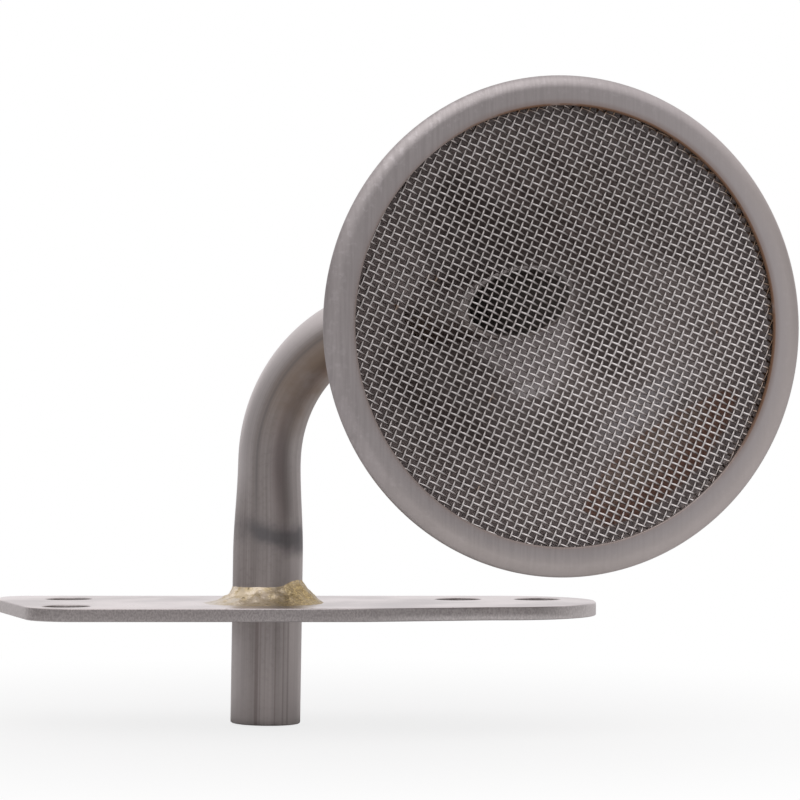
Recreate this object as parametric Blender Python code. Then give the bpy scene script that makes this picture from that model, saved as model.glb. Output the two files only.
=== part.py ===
"""Oil pickup screen for an engine sump.

A steel suction tube passes through a bolt plate, turns through a soft bend and ends,
cut on the slant, inside a domed strainer bell. The bell's rim is folded back over the
edge of a woven wire screen. Brazing holds the tube in the plate and in the bell.

Metres, +Z up. The origin is on the tube's axis at the plate's underside. +X runs along
the plate, and the screen faces -Y, turned a little towards +X.
"""

import math

import bmesh
import bpy
import numpy as np
from mathutils import Matrix, Vector

# Clearance between pieces that are joined or clamped together
SEAT_GAP = 0.0003

# Suction tube
TUBE_DIAMETER = 0.0159
TUBE_WALL = 0.001
TUBE_LEAN = math.radians(1)
STUB_LENGTH = 0.0245
STUB_CHAMFER = 0.0004
BEND_START = 0.0351
BEND_RADIUS = 0.0335
BEND_END_SLOPE = math.radians(85)
BEND_HEADING = math.radians(-22)
BEND_EASE = 0.006
RUN_OUT = 0.030
FLATTENED = 0.0021
SPREAD_OUT = 0.0004
FLATTENING_LEAD = 0.021
MOUTH_TILT = math.radians(8)

# Strainer bell with its folded rim
SCREEN_TURN = math.radians(16.4)
MOUTH_DEPTH = 0.0154
MOUTH_ACROSS = -0.0062
MOUTH_UP = 0.0055
RIM_DIAMETER = 0.1095
RIM_FACE_WIDTH = 0.0066
RIM_ROLL_WIDTH = 0.0028
ROLL_FULLNESS = 1.65
SHOULDER_WIDTH = 0.0077
RIM_DEPTH = 0.0038
BELL_SHEET = 0.0009
BELL_DEPTH = 0.0280
NECK_RADIUS = 0.002
DOME_FULLNESS = 3.3
WALL_BOW = 1.3

# Woven screen, with each strand standing for a few of the real wires
STEEP_PITCH = 0.0096
SHALLOW_PITCH = 0.00746
STRAND_WIDTH = 0.0022
STRAND_THICKNESS = 0.0012
CRIMP = 0.00042
EDGE_CRIMP = 0.0001
WEAVE_TURN = math.radians(-24.3)
SCREEN_EDGE_INSET = 0.0032
LAST_STRAND_INSET = 0.005

# Bolt plate
PLATE_THICKNESS = 0.003
PLATE_FRONT = -0.0254
PLATE_BACK = 0.0254
PLATE_LEFT = -0.063
PLATE_RIGHT = 0.075
LEFT_END_SLANT = math.radians(17.8)
LEFT_TIP_Y = 0.013
FRONT_LEFT_RADIUS = 0.012
LEFT_TIP_RADIUS = 0.008
BACK_LEFT_RADIUS = 0.0065
RIGHT_END_RADIUS = 0.021
STEP_END_INSET = 0.025
STEP_LENGTH = 0.028
STEP_DEPTH = 0.006
STEP_RADIUS = 0.025
PLATE_EDGE_BREAK = 0.0003
BOLT_HOLE_DIAMETER = 0.011
BOLT_HOLES = {
    "left_back": (PLATE_LEFT + 0.0166, PLATE_BACK - 0.0124),
    "left_front": (PLATE_LEFT + 0.0188, PLATE_FRONT + 0.0094),
    "right_inner": (PLATE_RIGHT - 0.0313, PLATE_BACK - 0.0134),
    "right_outer": (PLATE_RIGHT - 0.0130, PLATE_BACK - 0.0136),
}

# Brazing
PLATE_BRAZE_HEIGHT = 0.0034
PLATE_BRAZE_SPREAD = 0.0044
PLATE_BRAZE_RUN = 0.0042
PLATE_BRAZE_RUN_HEADING = math.radians(-105)
PLATE_BRAZE_LUMP = 0.0014
PLATE_BRAZE_LUMP_HEADING = math.radians(-50)
BELL_BRAZE_LEG = 0.0036
BRAZE_HOLLOW = 0.55

# Facets
TUBE_SIDES = 28
BEND_STEPS = 16
BELL_SIDES = 48
DOME_STEPS = 8
ROLL_STEPS = 3
FOLD_STEPS = 3
NECK_STEPS = 2
BRAZE_STEPS = 3
CORNER_STEP = math.radians(11)
HOLE_SIDES = 24

# Places that follow from the sizes
ARC_END = BEND_START + BEND_RADIUS * (BEND_END_SLOPE - TUBE_LEAN)
MOUTH_AT = ARC_END + RUN_OUT
HEADING = Vector((math.cos(BEND_HEADING), math.sin(BEND_HEADING), 0))
SIDEWAYS = Vector((-math.sin(BEND_HEADING), math.cos(BEND_HEADING), 0))
UP = Vector((0, 0, 1))
SCREEN_NORMAL = Vector((math.sin(SCREEN_TURN), -math.cos(SCREEN_TURN), 0))
SCREEN_ACROSS = Vector((math.cos(SCREEN_TURN), math.sin(SCREEN_TURN), 0))
FOLD_RADIUS = (RIM_DEPTH - BELL_SHEET) / 2
OPENING_RADIUS = RIM_DIAMETER / 2 - RIM_FACE_WIDTH
DOME_CENTRE_DEPTH = RIM_DEPTH - BELL_SHEET / 2 + NECK_RADIUS
DOME_RADIUS = RIM_DIAMETER / 2 - SHOULDER_WIDTH + BELL_SHEET / 2
DOME_HEIGHT = BELL_DEPTH + BELL_SHEET / 2 - DOME_CENTRE_DEPTH
SCREEN_DEPTH = RIM_DEPTH / 2
STRAND_END_RADIUS = RIM_DIAMETER / 2 - SCREEN_EDGE_INSET


def clear_scene():
    for obj in list(bpy.data.objects):
        bpy.data.objects.remove(obj, do_unlink=True)


def metal(name, colour, roughness):
    material = bpy.data.materials.new(name)
    material.use_nodes = True
    shader = material.node_tree.nodes["Principled BSDF"]
    shader.inputs["Base Color"].default_value = (*colour, 1)
    shader.inputs["Metallic"].default_value = 1
    shader.inputs["Roughness"].default_value = roughness
    return material


def object_from(name, bm, material=None, smooth_angle=math.radians(35)):
    """Makes an object of the finished bmesh. One without a material is a cutter."""
    bmesh.ops.recalc_face_normals(bm, faces=bm.faces)
    mesh = bpy.data.meshes.new(name)
    bm.to_mesh(mesh)
    bm.free()
    mesh.shade_smooth()
    mesh.set_sharp_from_angle(angle=smooth_angle)
    obj = bpy.data.objects.new(name, mesh)
    bpy.context.scene.collection.objects.link(obj)
    if material is None:
        obj.hide_render = True
        obj.display_type = "WIRE"
    else:
        mesh.materials.append(material)
    return obj


def boolean(obj, cutter, operation="DIFFERENCE"):
    modifier = obj.modifiers.new(cutter.name, "BOOLEAN")
    modifier.operation = operation
    modifier.solver = "EXACT"
    modifier.object = cutter


def loft(bm, rings, ring_of_rings=False):
    """Skins a row of rings of points. The ends are capped, or joined to each other."""
    rows = [[bm.verts.new(point) for point in ring] for ring in rings]
    pairs = list(zip(rows, rows[1:]))
    if ring_of_rings:
        pairs.append((rows[-1], rows[0]))
    else:
        bm.faces.new(rows[0])
        bm.faces.new(rows[-1])
    for low, high in pairs:
        for i in range(len(low)):
            j = (i + 1) % len(low)
            bm.faces.new((low[i], low[j], high[j], high[i]))


def smooth_step(value):
    value = min(max(value, 0), 1)
    return value * value * (3 - 2 * value)


def eased(distance):
    """Length of full curvature behind a point that lies this far past a bend's start."""
    half = BEND_EASE / 2
    if distance <= -half:
        return 0
    if distance >= half:
        return distance
    return (distance + half) ** 2 / (2 * BEND_EASE)


def tangent(along):
    """Direction of the tube's axis, from its lean at the plate to its slope past the bend."""
    turned = (eased(along - BEND_START) - eased(along - ARC_END)) / BEND_RADIUS
    angle = TUBE_LEAN + turned
    return UP * math.cos(angle) + HEADING * math.sin(angle)


def trace_route(steps=1500):
    """Distances along the tube's axis, 0 at the plate's underside, and the points there."""
    distances = np.linspace(0, MOUTH_AT, steps + 1)
    middles = (distances[1:] + distances[:-1]) / 2
    strides = np.array([tangent(at) for at in middles]) * (MOUTH_AT / steps)
    points = np.vstack([np.zeros(3), np.cumsum(strides, axis=0)])
    return distances, points


ROUTE = trace_route()


def centre(along):
    if along < 0:
        return tangent(0) * along
    distances, points = ROUTE
    return Vector([np.interp(along, distances, points[:, i]) for i in range(3)])


def half_axes(along, outset):
    """The oval's half height in the bend's plane and half width across it."""
    flat = smooth_step((along - BEND_START + FLATTENING_LEAD) / FLATTENING_LEAD)
    if along > ARC_END:
        flat = 1 - (along - ARC_END) / RUN_OUT
    radius = TUBE_DIAMETER / 2 + outset
    return radius - flat * FLATTENED / 2, radius + flat * SPREAD_OUT / 2


def tube_point(along, angle, outset=0):
    height, width = half_axes(along, outset)
    in_plane = SIDEWAYS.cross(tangent(along))
    return centre(along) + in_plane * height * math.cos(angle) + SIDEWAYS * width * math.sin(angle)


def tube_normal(along, angle):
    height, width = half_axes(along, 0)
    in_plane = SIDEWAYS.cross(tangent(along))
    return (in_plane * math.cos(angle) / height + SIDEWAYS * math.sin(angle) / width).normalized()


def side_angles():
    return [2 * math.pi * i / TUBE_SIDES for i in range(TUBE_SIDES)]


def tube_ring(along, outset=0):
    return [tube_point(along, angle, outset) for angle in side_angles()]


def mouth_ring(outset=0):
    """The tube's free end, cut on a plane that is nearly parallel to the screen."""
    way = tangent(MOUTH_AT)
    cut_normal = Matrix.Rotation(MOUTH_TILT, 3, SCREEN_ACROSS) @ SCREEN_NORMAL
    middle = centre(MOUTH_AT)
    ring = []
    for point in tube_ring(MOUTH_AT, outset):
        slide = (middle - point).dot(cut_normal) / way.dot(cut_normal)
        ring.append(point + way * slide)
    return ring


def bend_stations():
    """Places along the axis where the tube's skin has a ring, up to half of the run-out."""
    first = BEND_START - FLATTENING_LEAD
    last = ARC_END + BEND_EASE / 2
    stations = [first + (last - first) * i / BEND_STEPS for i in range(BEND_STEPS + 1)]
    return stations + [ARC_END + RUN_OUT / 2]


def make_suction_tube():
    bm = bmesh.new()
    outer = [tube_ring(-STUB_LENGTH, -STUB_CHAMFER), tube_ring(STUB_CHAMFER - STUB_LENGTH)]
    outer += [tube_ring(at) for at in bend_stations()] + [mouth_ring()]
    inner = [tube_ring(-STUB_LENGTH, -TUBE_WALL)]
    inner += [tube_ring(at, -TUBE_WALL) for at in bend_stations()] + [mouth_ring(-TUBE_WALL)]
    loft(bm, outer + inner[::-1], ring_of_rings=True)
    return object_from("suction_tube", bm, metal("tube_steel", (0.38, 0.36, 0.34), 0.38))


def make_tube_cutter():
    """The space that the tube takes up in the plate and in the bell, with its clearance."""
    bm = bmesh.new()
    stations = [-PLATE_THICKNESS] + bend_stations() + [MOUTH_AT]
    loft(bm, [tube_ring(at, SEAT_GAP) for at in stations])
    return object_from("tube_space", bm)


def strainer_axes():
    """Matrix of the bell's own axes: X across the screen, Y up it, Z out of its face."""
    depth = SCREEN_NORMAL * MOUTH_DEPTH
    face_centre = centre(MOUTH_AT) - SCREEN_ACROSS * MOUTH_ACROSS - UP * MOUTH_UP + depth
    turn = Matrix((SCREEN_ACROSS, UP, SCREEN_NORMAL)).transposed().to_4x4()
    return Matrix.Translation(face_centre) @ turn


def arc(middle, radius, start, end, steps):
    """Points (radius, height) on an arc, both ends included."""
    angles = [start + (end - start) * i / steps for i in range(steps + 1)]
    return [(middle[0] + radius * math.cos(a), middle[1] + radius * math.sin(a)) for a in angles]


def bell_centreline():
    """Middle of the bell's sheet, from the rim's inner lip over the fold to the crown."""
    fold_middle = (RIM_DIAMETER / 2 - RIM_DEPTH / 2, -RIM_DEPTH / 2)
    neck_middle = (DOME_RADIUS + NECK_RADIUS, -DOME_CENTRE_DEPTH)
    quarter = math.pi / 2
    line = [(OPENING_RADIUS, -BELL_SHEET / 2)]
    for i in range(ROLL_STEPS):
        angle = quarter * (1 - i / ROLL_STEPS)
        reach = (RIM_ROLL_WIDTH - BELL_SHEET / 2) * math.cos(angle) ** (2 / ROLL_FULLNESS)
        rise = FOLD_RADIUS * math.sin(angle) ** (2 / ROLL_FULLNESS)
        line.append((RIM_DIAMETER / 2 - RIM_ROLL_WIDTH + reach, -RIM_DEPTH / 2 + rise))
    line += arc(fold_middle, FOLD_RADIUS, 0, -quarter, FOLD_STEPS)
    line += arc(neck_middle, NECK_RADIUS, quarter, 2 * quarter, NECK_STEPS)
    for i in range(1, DOME_STEPS):
        angle = quarter * i / DOME_STEPS
        radius = DOME_RADIUS * math.cos(angle) ** (2 / DOME_FULLNESS)
        drop = DOME_HEIGHT * math.sin(angle) ** (2 / WALL_BOW)
        line.append((radius, -DOME_CENTRE_DEPTH - drop))
    line.append((0, -DOME_CENTRE_DEPTH - DOME_HEIGHT))
    return line


def offset_line(line, distance):
    """The line moved sideways by the distance, square to its own run at each point."""
    points = np.array(line)
    runs = np.gradient(points, axis=0)
    runs[0] = points[1] - points[0]
    runs[-1] = (-1, 0)
    runs /= np.linalg.norm(runs, axis=1)[:, None]
    return [(x - distance * dz, z + distance * dx) for (x, z), (dx, dz) in zip(points, runs)]


def make_strainer_bell(axes, tube_cutter):
    """One pressed sheet: a dome, a flat shoulder and a rim folded over the screen."""
    line = bell_centreline()
    outside = offset_line(line, BELL_SHEET / 2)
    inside = offset_line(line, -BELL_SHEET / 2)
    profile = outside[::-1] + inside
    bm = bmesh.new()
    verts = [bm.verts.new((x, 0, z)) for x, z in profile]
    edges = [bm.edges.new(pair) for pair in zip(verts, verts[1:])]
    bmesh.ops.spin(
        bm,
        geom=verts + edges,
        axis=(0, 0, 1),
        cent=(0, 0, 0),
        angle=2 * math.pi,
        steps=BELL_SIDES,
        use_merge=True,
    )
    bmesh.ops.remove_doubles(bm, verts=bm.verts, dist=0.000001)
    bell = object_from("strainer_bell", bm, metal("bell_steel", (0.35, 0.33, 0.32), 0.42))
    bell.matrix_world = axes
    boolean(bell, tube_cutter)
    return bell


def strand_places(pitch):
    """Sideways places of a family of strands, as many as fit in the screen."""
    half_width = STRAND_END_RADIUS - LAST_STRAND_INSET
    last = math.floor(2 * half_width / pitch)
    return [(i - last / 2) * pitch for i in range(last + 1)]


def strand_points(own_place, cross_pitch, front_first):
    """Axis of one strand along X: over and under each strand that it crosses."""
    half_run = math.sqrt(STRAND_END_RADIUS**2 - own_place**2)
    points = [(-half_run, 0)]
    for i, x in enumerate(strand_places(cross_pitch)):
        if abs(x) > half_run - STRAND_WIDTH:
            continue
        reach = math.hypot(x, own_place)
        inside = smooth_step((OPENING_RADIUS - reach) / STRAND_WIDTH)
        height = EDGE_CRIMP + (CRIMP - EDGE_CRIMP) * inside
        points.append((x, height if (i % 2 == 0) == front_first else -height))
    return points + [(half_run, 0)]


def add_strands(bm, pitch, cross_pitch, turn):
    """A family of parallel strands in the screen's plane, each a flattened hexagon."""
    corners = [(math.cos(math.pi * k / 3), math.sin(math.pi * k / 3)) for k in range(6)]
    for i, place in enumerate(strand_places(pitch)):
        rings = []
        for x, z in strand_points(place, cross_pitch, i % 2 == 0):
            rings.append(
                [
                    turn
                    @ Vector((x, place + c * STRAND_WIDTH / 2, z + s * STRAND_THICKNESS / 2))
                    for c, s in corners
                ]
            )
        loft(bm, rings)


def make_screen_mesh(axes):
    shallow = Matrix.Rotation(WEAVE_TURN, 3, "Z")
    steep = Matrix.Rotation(WEAVE_TURN + math.pi / 2, 3, "Z")
    bm = bmesh.new()
    add_strands(bm, SHALLOW_PITCH, STEEP_PITCH, shallow)
    screen = object_from("screen_mesh", bm, metal("screen_wire", (0.62, 0.61, 0.6), 0.3))
    bm = bmesh.new()
    add_strands(bm, STEEP_PITCH, SHALLOW_PITCH, steep)
    crossing = object_from("steep_strands", bm)
    boolean(screen, crossing, "UNION")
    for obj in (screen, crossing):
        obj.matrix_world = axes @ Matrix.Translation((0, 0, -SCREEN_DEPTH))
    return screen


def braze_section(corner, tube_side, shell_side, up_tube, along_shell, height, spread):
    """A hollow-faced fillet in the corner of the tube and the shell that it enters."""
    lift = SEAT_GAP / (1 + tube_side.dot(shell_side))
    root = corner + (tube_side + shell_side) * lift
    high = corner + tube_side * SEAT_GAP + up_tube * height
    wide = corner + shell_side * SEAT_GAP + along_shell * spread
    pull = (high + wide) / 2 + (root - (high + wide) / 2) * BRAZE_HOLLOW
    face = []
    for i in range(BRAZE_STEPS + 1):
        t = i / BRAZE_STEPS
        face.append(high * (1 - t) ** 2 + pull * 2 * t * (1 - t) + wide * t**2)
    return [root] + face


def braze_ring(name, sections, colour):
    bm = bmesh.new()
    loft(bm, sections, ring_of_rings=True)
    return object_from(name, bm, metal(name + "_metal", colour, 0.35))


def toward(angle, heading):
    """1 where the angle points along the heading, falling to 0 behind it."""
    return smooth_step((1 + math.cos(angle - heading)) / 2) ** 2


def make_plate_braze():
    sections = []
    along = PLATE_THICKNESS
    for angle in side_angles():
        side = tube_normal(along, angle)
        corner = tube_point(along, angle)
        corner.z = PLATE_THICKNESS
        out = Vector((side.x, side.y, 0)).normalized()
        lump = PLATE_BRAZE_LUMP * toward(angle + BEND_HEADING, PLATE_BRAZE_LUMP_HEADING)
        run = PLATE_BRAZE_RUN * toward(angle + BEND_HEADING, PLATE_BRAZE_RUN_HEADING)
        height = PLATE_BRAZE_HEIGHT + lump
        spread = PLATE_BRAZE_SPREAD + run
        sections.append(braze_section(corner, side, UP, tangent(along), out, height, spread))
    return braze_ring("plate_braze", sections, (0.62, 0.5, 0.28))


def dome_reading(axes_inverse, point):
    """Below 0 inside the bell's outer face and above 0 outside it, with its local slope."""
    local = axes_inverse @ point
    reach = math.hypot(local.x, local.y)
    width, height = DOME_RADIUS + BELL_SHEET / 2, DOME_HEIGHT + BELL_SHEET / 2
    down = max(-local.z - DOME_CENTRE_DEPTH, height * 1e-4)
    reading = (reach / width) ** DOME_FULLNESS + (down / height) ** WALL_BOW - 1
    outward = DOME_FULLNESS * (reach / width) ** (DOME_FULLNESS - 2) / width**2
    backward = WALL_BOW * (down / height) ** (WALL_BOW - 1) / height
    slope = Vector((local.x * outward, local.y * outward, -backward))
    return reading, slope


def entry_distance(axes_inverse, angle):
    """Where the tube's side at this angle goes through the bell's outer face."""
    low, high = ARC_END, MOUTH_AT
    for _ in range(40):
        middle = (low + high) / 2
        reading, _slope = dome_reading(axes_inverse, tube_point(middle, angle))
        if reading > 0:
            low = middle
        else:
            high = middle
    return low


def make_bell_braze(axes):
    axes_inverse = axes.inverted()
    sections = []
    for angle in side_angles():
        along = entry_distance(axes_inverse, angle)
        corner = tube_point(along, angle)
        tube_side = tube_normal(along, angle)
        _reading, slope = dome_reading(axes_inverse, corner)
        shell_side = (axes.to_3x3() @ slope).normalized()
        along_shell = (tube_side - shell_side * tube_side.dot(shell_side)).normalized()
        back = -tangent(along)
        leg = BELL_BRAZE_LEG
        sections.append(braze_section(corner, tube_side, shell_side, back, along_shell, leg, leg))
    return braze_ring("bell_braze", sections, (0.58, 0.46, 0.26))


def rounded_outline(corners):
    """Outline through (x, y, radius) corners, with each corner's arc in even steps."""
    outline = []
    for i, (x, y, radius) in enumerate(corners):
        here = Vector((x, y))
        back = (Vector(corners[i - 1][:2]) - here).normalized()
        ahead = (Vector(corners[(i + 1) % len(corners)][:2]) - here).normalized()
        half_angle = back.angle(ahead) / 2
        middle = here + (back + ahead).normalized() * (radius / math.sin(half_angle))
        start = here + back * (radius / math.tan(half_angle)) - middle
        sweep = math.pi - 2 * half_angle
        if back.x * ahead.y - back.y * ahead.x > 0:
            sweep = -sweep
        steps = max(1, round(abs(sweep) / CORNER_STEP))
        for k in range(steps + 1):
            outline.append(middle + Matrix.Rotation(sweep * k / steps, 2) @ start)
    return outline


def plate_corners():
    slant_run = (LEFT_TIP_Y - PLATE_FRONT) * math.tan(LEFT_END_SLANT)
    stepped_front = PLATE_FRONT + STEP_DEPTH
    step_end = PLATE_RIGHT - STEP_END_INSET
    return [
        (PLATE_LEFT + slant_run, PLATE_FRONT, FRONT_LEFT_RADIUS),
        (step_end - STEP_LENGTH, PLATE_FRONT, STEP_RADIUS),
        (step_end, stepped_front, STEP_RADIUS),
        (PLATE_RIGHT, stepped_front, RIGHT_END_RADIUS),
        (PLATE_RIGHT, PLATE_BACK, RIGHT_END_RADIUS),
        (PLATE_LEFT, PLATE_BACK, BACK_LEFT_RADIUS),
        (PLATE_LEFT, LEFT_TIP_Y, LEFT_TIP_RADIUS),
    ]


def make_bolt_hole(place, x, y):
    bm = bmesh.new()
    radius = BOLT_HOLE_DIAMETER / 2
    bmesh.ops.create_cone(
        bm,
        cap_ends=True,
        segments=HOLE_SIDES,
        radius1=radius,
        radius2=radius,
        depth=3 * PLATE_THICKNESS,
        matrix=Matrix.Translation((x, y, PLATE_THICKNESS / 2)),
    )
    return object_from("bolt_hole_" + place, bm)


def make_mounting_plate(tube_cutter):
    bm = bmesh.new()
    outline = rounded_outline(plate_corners())
    base = bm.faces.new([bm.verts.new((x, y, 0)) for x, y in outline])
    lifted = bmesh.ops.extrude_face_region(bm, geom=[base])["geom"]
    raised = [item for item in lifted if isinstance(item, bmesh.types.BMVert)]
    bmesh.ops.translate(bm, verts=raised, vec=(0, 0, PLATE_THICKNESS))
    plate = object_from("mounting_plate", bm, metal("plate_steel", (0.42, 0.4, 0.4), 0.4))
    edges = plate.modifiers.new("edge_break", "BEVEL")
    edges.width = PLATE_EDGE_BREAK
    edges.limit_method = "ANGLE"
    edges.angle_limit = math.radians(60)
    for place, (x, y) in BOLT_HOLES.items():
        boolean(plate, make_bolt_hole(place, x, y))
    boolean(plate, tube_cutter)
    return plate


def main():
    clear_scene()
    axes = strainer_axes()
    tube_cutter = make_tube_cutter()
    make_suction_tube()
    make_mounting_plate(tube_cutter)
    make_plate_braze()
    make_strainer_bell(axes, tube_cutter)
    make_bell_braze(axes)
    make_screen_mesh(axes)


main()
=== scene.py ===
"""Oil pickup screen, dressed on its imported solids.

A drawn steel suction tube is brazed through a bolt plate and into a pressed strainer bell,
whose rim is folded over a disc of fine woven wire. Metres, +Z up, in the part's own frame.
Each operator makes one piece or one group of like pieces, from the sizes in the sidebar.
"""

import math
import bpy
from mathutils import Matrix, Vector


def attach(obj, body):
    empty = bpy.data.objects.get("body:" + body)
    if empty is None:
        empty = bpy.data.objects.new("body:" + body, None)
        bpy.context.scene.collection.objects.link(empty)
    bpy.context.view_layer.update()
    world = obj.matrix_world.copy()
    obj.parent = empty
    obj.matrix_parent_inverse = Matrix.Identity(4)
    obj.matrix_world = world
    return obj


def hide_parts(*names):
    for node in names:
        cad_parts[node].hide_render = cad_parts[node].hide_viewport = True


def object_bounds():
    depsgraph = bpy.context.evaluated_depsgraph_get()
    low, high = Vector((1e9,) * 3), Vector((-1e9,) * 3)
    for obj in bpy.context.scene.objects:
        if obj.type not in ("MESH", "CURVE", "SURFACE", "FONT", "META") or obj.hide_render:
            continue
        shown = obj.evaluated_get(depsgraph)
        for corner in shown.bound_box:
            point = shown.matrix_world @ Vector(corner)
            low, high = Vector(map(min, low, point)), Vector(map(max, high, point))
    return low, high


bl_info = {
    "name": "Oil Pickup Screen",
    "version": (1, 0, 0),
    "blender": (4, 5, 0),
    "location": "3D Viewport > Sidebar > Oil Pickup",
    "description": "Suction tube, bolt plate, strainer bell and woven screen of an oil pickup",
    "category": "Object",
}

import bmesh
import bpy
import numpy as np
from bpy.props import FloatProperty, FloatVectorProperty, IntProperty, PointerProperty
from mathutils import Matrix, Vector, noise

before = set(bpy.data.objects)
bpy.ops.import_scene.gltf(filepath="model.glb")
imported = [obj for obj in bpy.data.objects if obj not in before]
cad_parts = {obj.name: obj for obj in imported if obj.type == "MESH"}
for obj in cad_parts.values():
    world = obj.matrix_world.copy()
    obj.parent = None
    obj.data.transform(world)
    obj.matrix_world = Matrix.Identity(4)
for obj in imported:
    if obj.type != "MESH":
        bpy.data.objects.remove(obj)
CAD_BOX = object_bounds()
QUARTER = math.pi / 2
UP = Vector((0, 0, 1))


# Sizes and colours


class TubeSettings(bpy.types.PropertyGroup):
    diameter: FloatProperty(
        name="Diameter", description="Outside of the tube", default=0.0159, unit="LENGTH"
    )
    wall: FloatProperty(
        name="Wall", description="Thickness of the tube's wall", default=0.001, unit="LENGTH"
    )
    lean: FloatProperty(
        name="Lean",
        description="Slope of the tube at the plate, towards the bend",
        default=math.radians(1),
        subtype="ANGLE",
    )
    stub_length: FloatProperty(
        name="Stub", description="Reach below the plate", default=0.0245, unit="LENGTH"
    )
    end_break: FloatProperty(
        name="End break", description="Rounding of the stub's end", default=0.0004, unit="LENGTH"
    )
    bend_start: FloatProperty(
        name="Bend start", description="Height where it turns", default=0.0351, unit="LENGTH"
    )
    bend_radius: FloatProperty(
        name="Bend radius", description="On the tube's axis", default=0.0335, unit="LENGTH"
    )
    end_slope: FloatProperty(
        name="End slope",
        description="Slope of the axis past the bend, from upright",
        default=math.radians(85),
        subtype="ANGLE",
    )
    heading: FloatProperty(
        name="Heading",
        description="Way the tube bends, seen from above",
        default=math.radians(-22),
        subtype="ANGLE",
    )
    ease: FloatProperty(
        name="Ease", description="Length over which it turns", default=0.006, unit="LENGTH"
    )
    run_out: FloatProperty(
        name="Run-out", description="Straight run past the bend", default=0.030, unit="LENGTH"
    )
    flattened: FloatProperty(
        name="Flattened", description="Height lost in the bend", default=0.0021, unit="LENGTH"
    )
    spread_out: FloatProperty(
        name="Spread", description="Width gained in the bend", default=0.0004, unit="LENGTH"
    )
    lead: FloatProperty(
        name="Lead", description="Length over which it flattens", default=0.021, unit="LENGTH"
    )
    mouth_tilt: FloatProperty(
        name="Mouth tilt",
        description="Turn of the mouth's cut away from the screen's plane",
        default=math.radians(8),
        subtype="ANGLE",
    )
    sides: IntProperty(name="Sides", description="Faces round the tube", default=96)
    steel: FloatVectorProperty(
        name="Steel", description="Drawn steel", default=(0.41, 0.374, 0.364), subtype="COLOR"
    )
    # Colour of the streaks, also laid on as painted shade down the right side by the bend
    shade: FloatVectorProperty(
        name="Streaks", description="Darker drawing marks", default=(0.21, 0.19, 0.18), subtype="COLOR"
    )
    warm: FloatVectorProperty(
        name="Oil tint",
        description="Brown film in the bend",
        default=(0.27, 0.21, 0.165),
        subtype="COLOR",
    )
    scorch: FloatVectorProperty(
        name="Scorch",
        description="Heat mark over the plate",
        default=(0.115, 0.117, 0.127),
        subtype="COLOR",
    )
    # Painted near black all through, as the shade inside the tube
    bore: FloatVectorProperty(
        name="Bore", description="Oil-blackened inside", default=(0.10, 0.085, 0.076), subtype="COLOR"
    )


class PlateSettings(bpy.types.PropertyGroup):
    thickness: FloatProperty(
        name="Thickness", description="Of the sheet", default=0.003, unit="LENGTH"
    )
    front: FloatProperty(
        name="Front", description="Front edge, along Y", default=-0.0254, unit="LENGTH"
    )
    back: FloatProperty(
        name="Back", description="Back edge, along Y", default=0.0254, unit="LENGTH"
    )
    left: FloatProperty(
        name="Left", description="Left tip, along X", default=-0.063, unit="LENGTH"
    )
    right: FloatProperty(
        name="Right", description="Right end, along X", default=0.075, unit="LENGTH"
    )
    slant: FloatProperty(
        name="Slant",
        description="Slope of the left end",
        default=math.radians(17.8),
        subtype="ANGLE",
    )
    tip_y: FloatProperty(
        name="Tip", description="Where the slant meets the tip", default=0.013, unit="LENGTH"
    )
    step: FloatProperty(
        name="Step", description="How far the front edge steps back", default=0.006, unit="LENGTH"
    )
    step_run: FloatProperty(
        name="Step run", description="Length of the step, along X", default=0.028, unit="LENGTH"
    )
    step_inset: FloatProperty(
        name="Step inset", description="End of the step from the right end", default=0.025, unit="LENGTH"
    )
    slant_radius: FloatProperty(
        name="Slant radius", description="Corner at the slant's foot", default=0.012, unit="LENGTH"
    )
    step_radius: FloatProperty(
        name="Step radius", description="Both turns of the step", default=0.025, unit="LENGTH"
    )
    end_radius: FloatProperty(
        name="End radius", description="Corners of the right end", default=0.021, unit="LENGTH"
    )
    back_radius: FloatProperty(
        name="Back radius", description="Left corner at the back", default=0.0065, unit="LENGTH"
    )
    tip_radius: FloatProperty(
        name="Tip radius", description="Corner at the left tip", default=0.008, unit="LENGTH"
    )
    edge_break: FloatProperty(
        name="Edge break", description="Rounding of the cut edges", default=0.0003, unit="LENGTH"
    )
    hole_diameter: FloatProperty(
        name="Bolt holes", description="Diameter of each", default=0.011, unit="LENGTH"
    )
    steel: FloatVectorProperty(
        name="Steel", description="Rolled face", default=(0.67, 0.625, 0.62), subtype="COLOR"
    )
    cut_steel: FloatVectorProperty(
        name="Cut edge", description="Sheared edge", default=(0.46, 0.427, 0.42), subtype="COLOR"
    )


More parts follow.
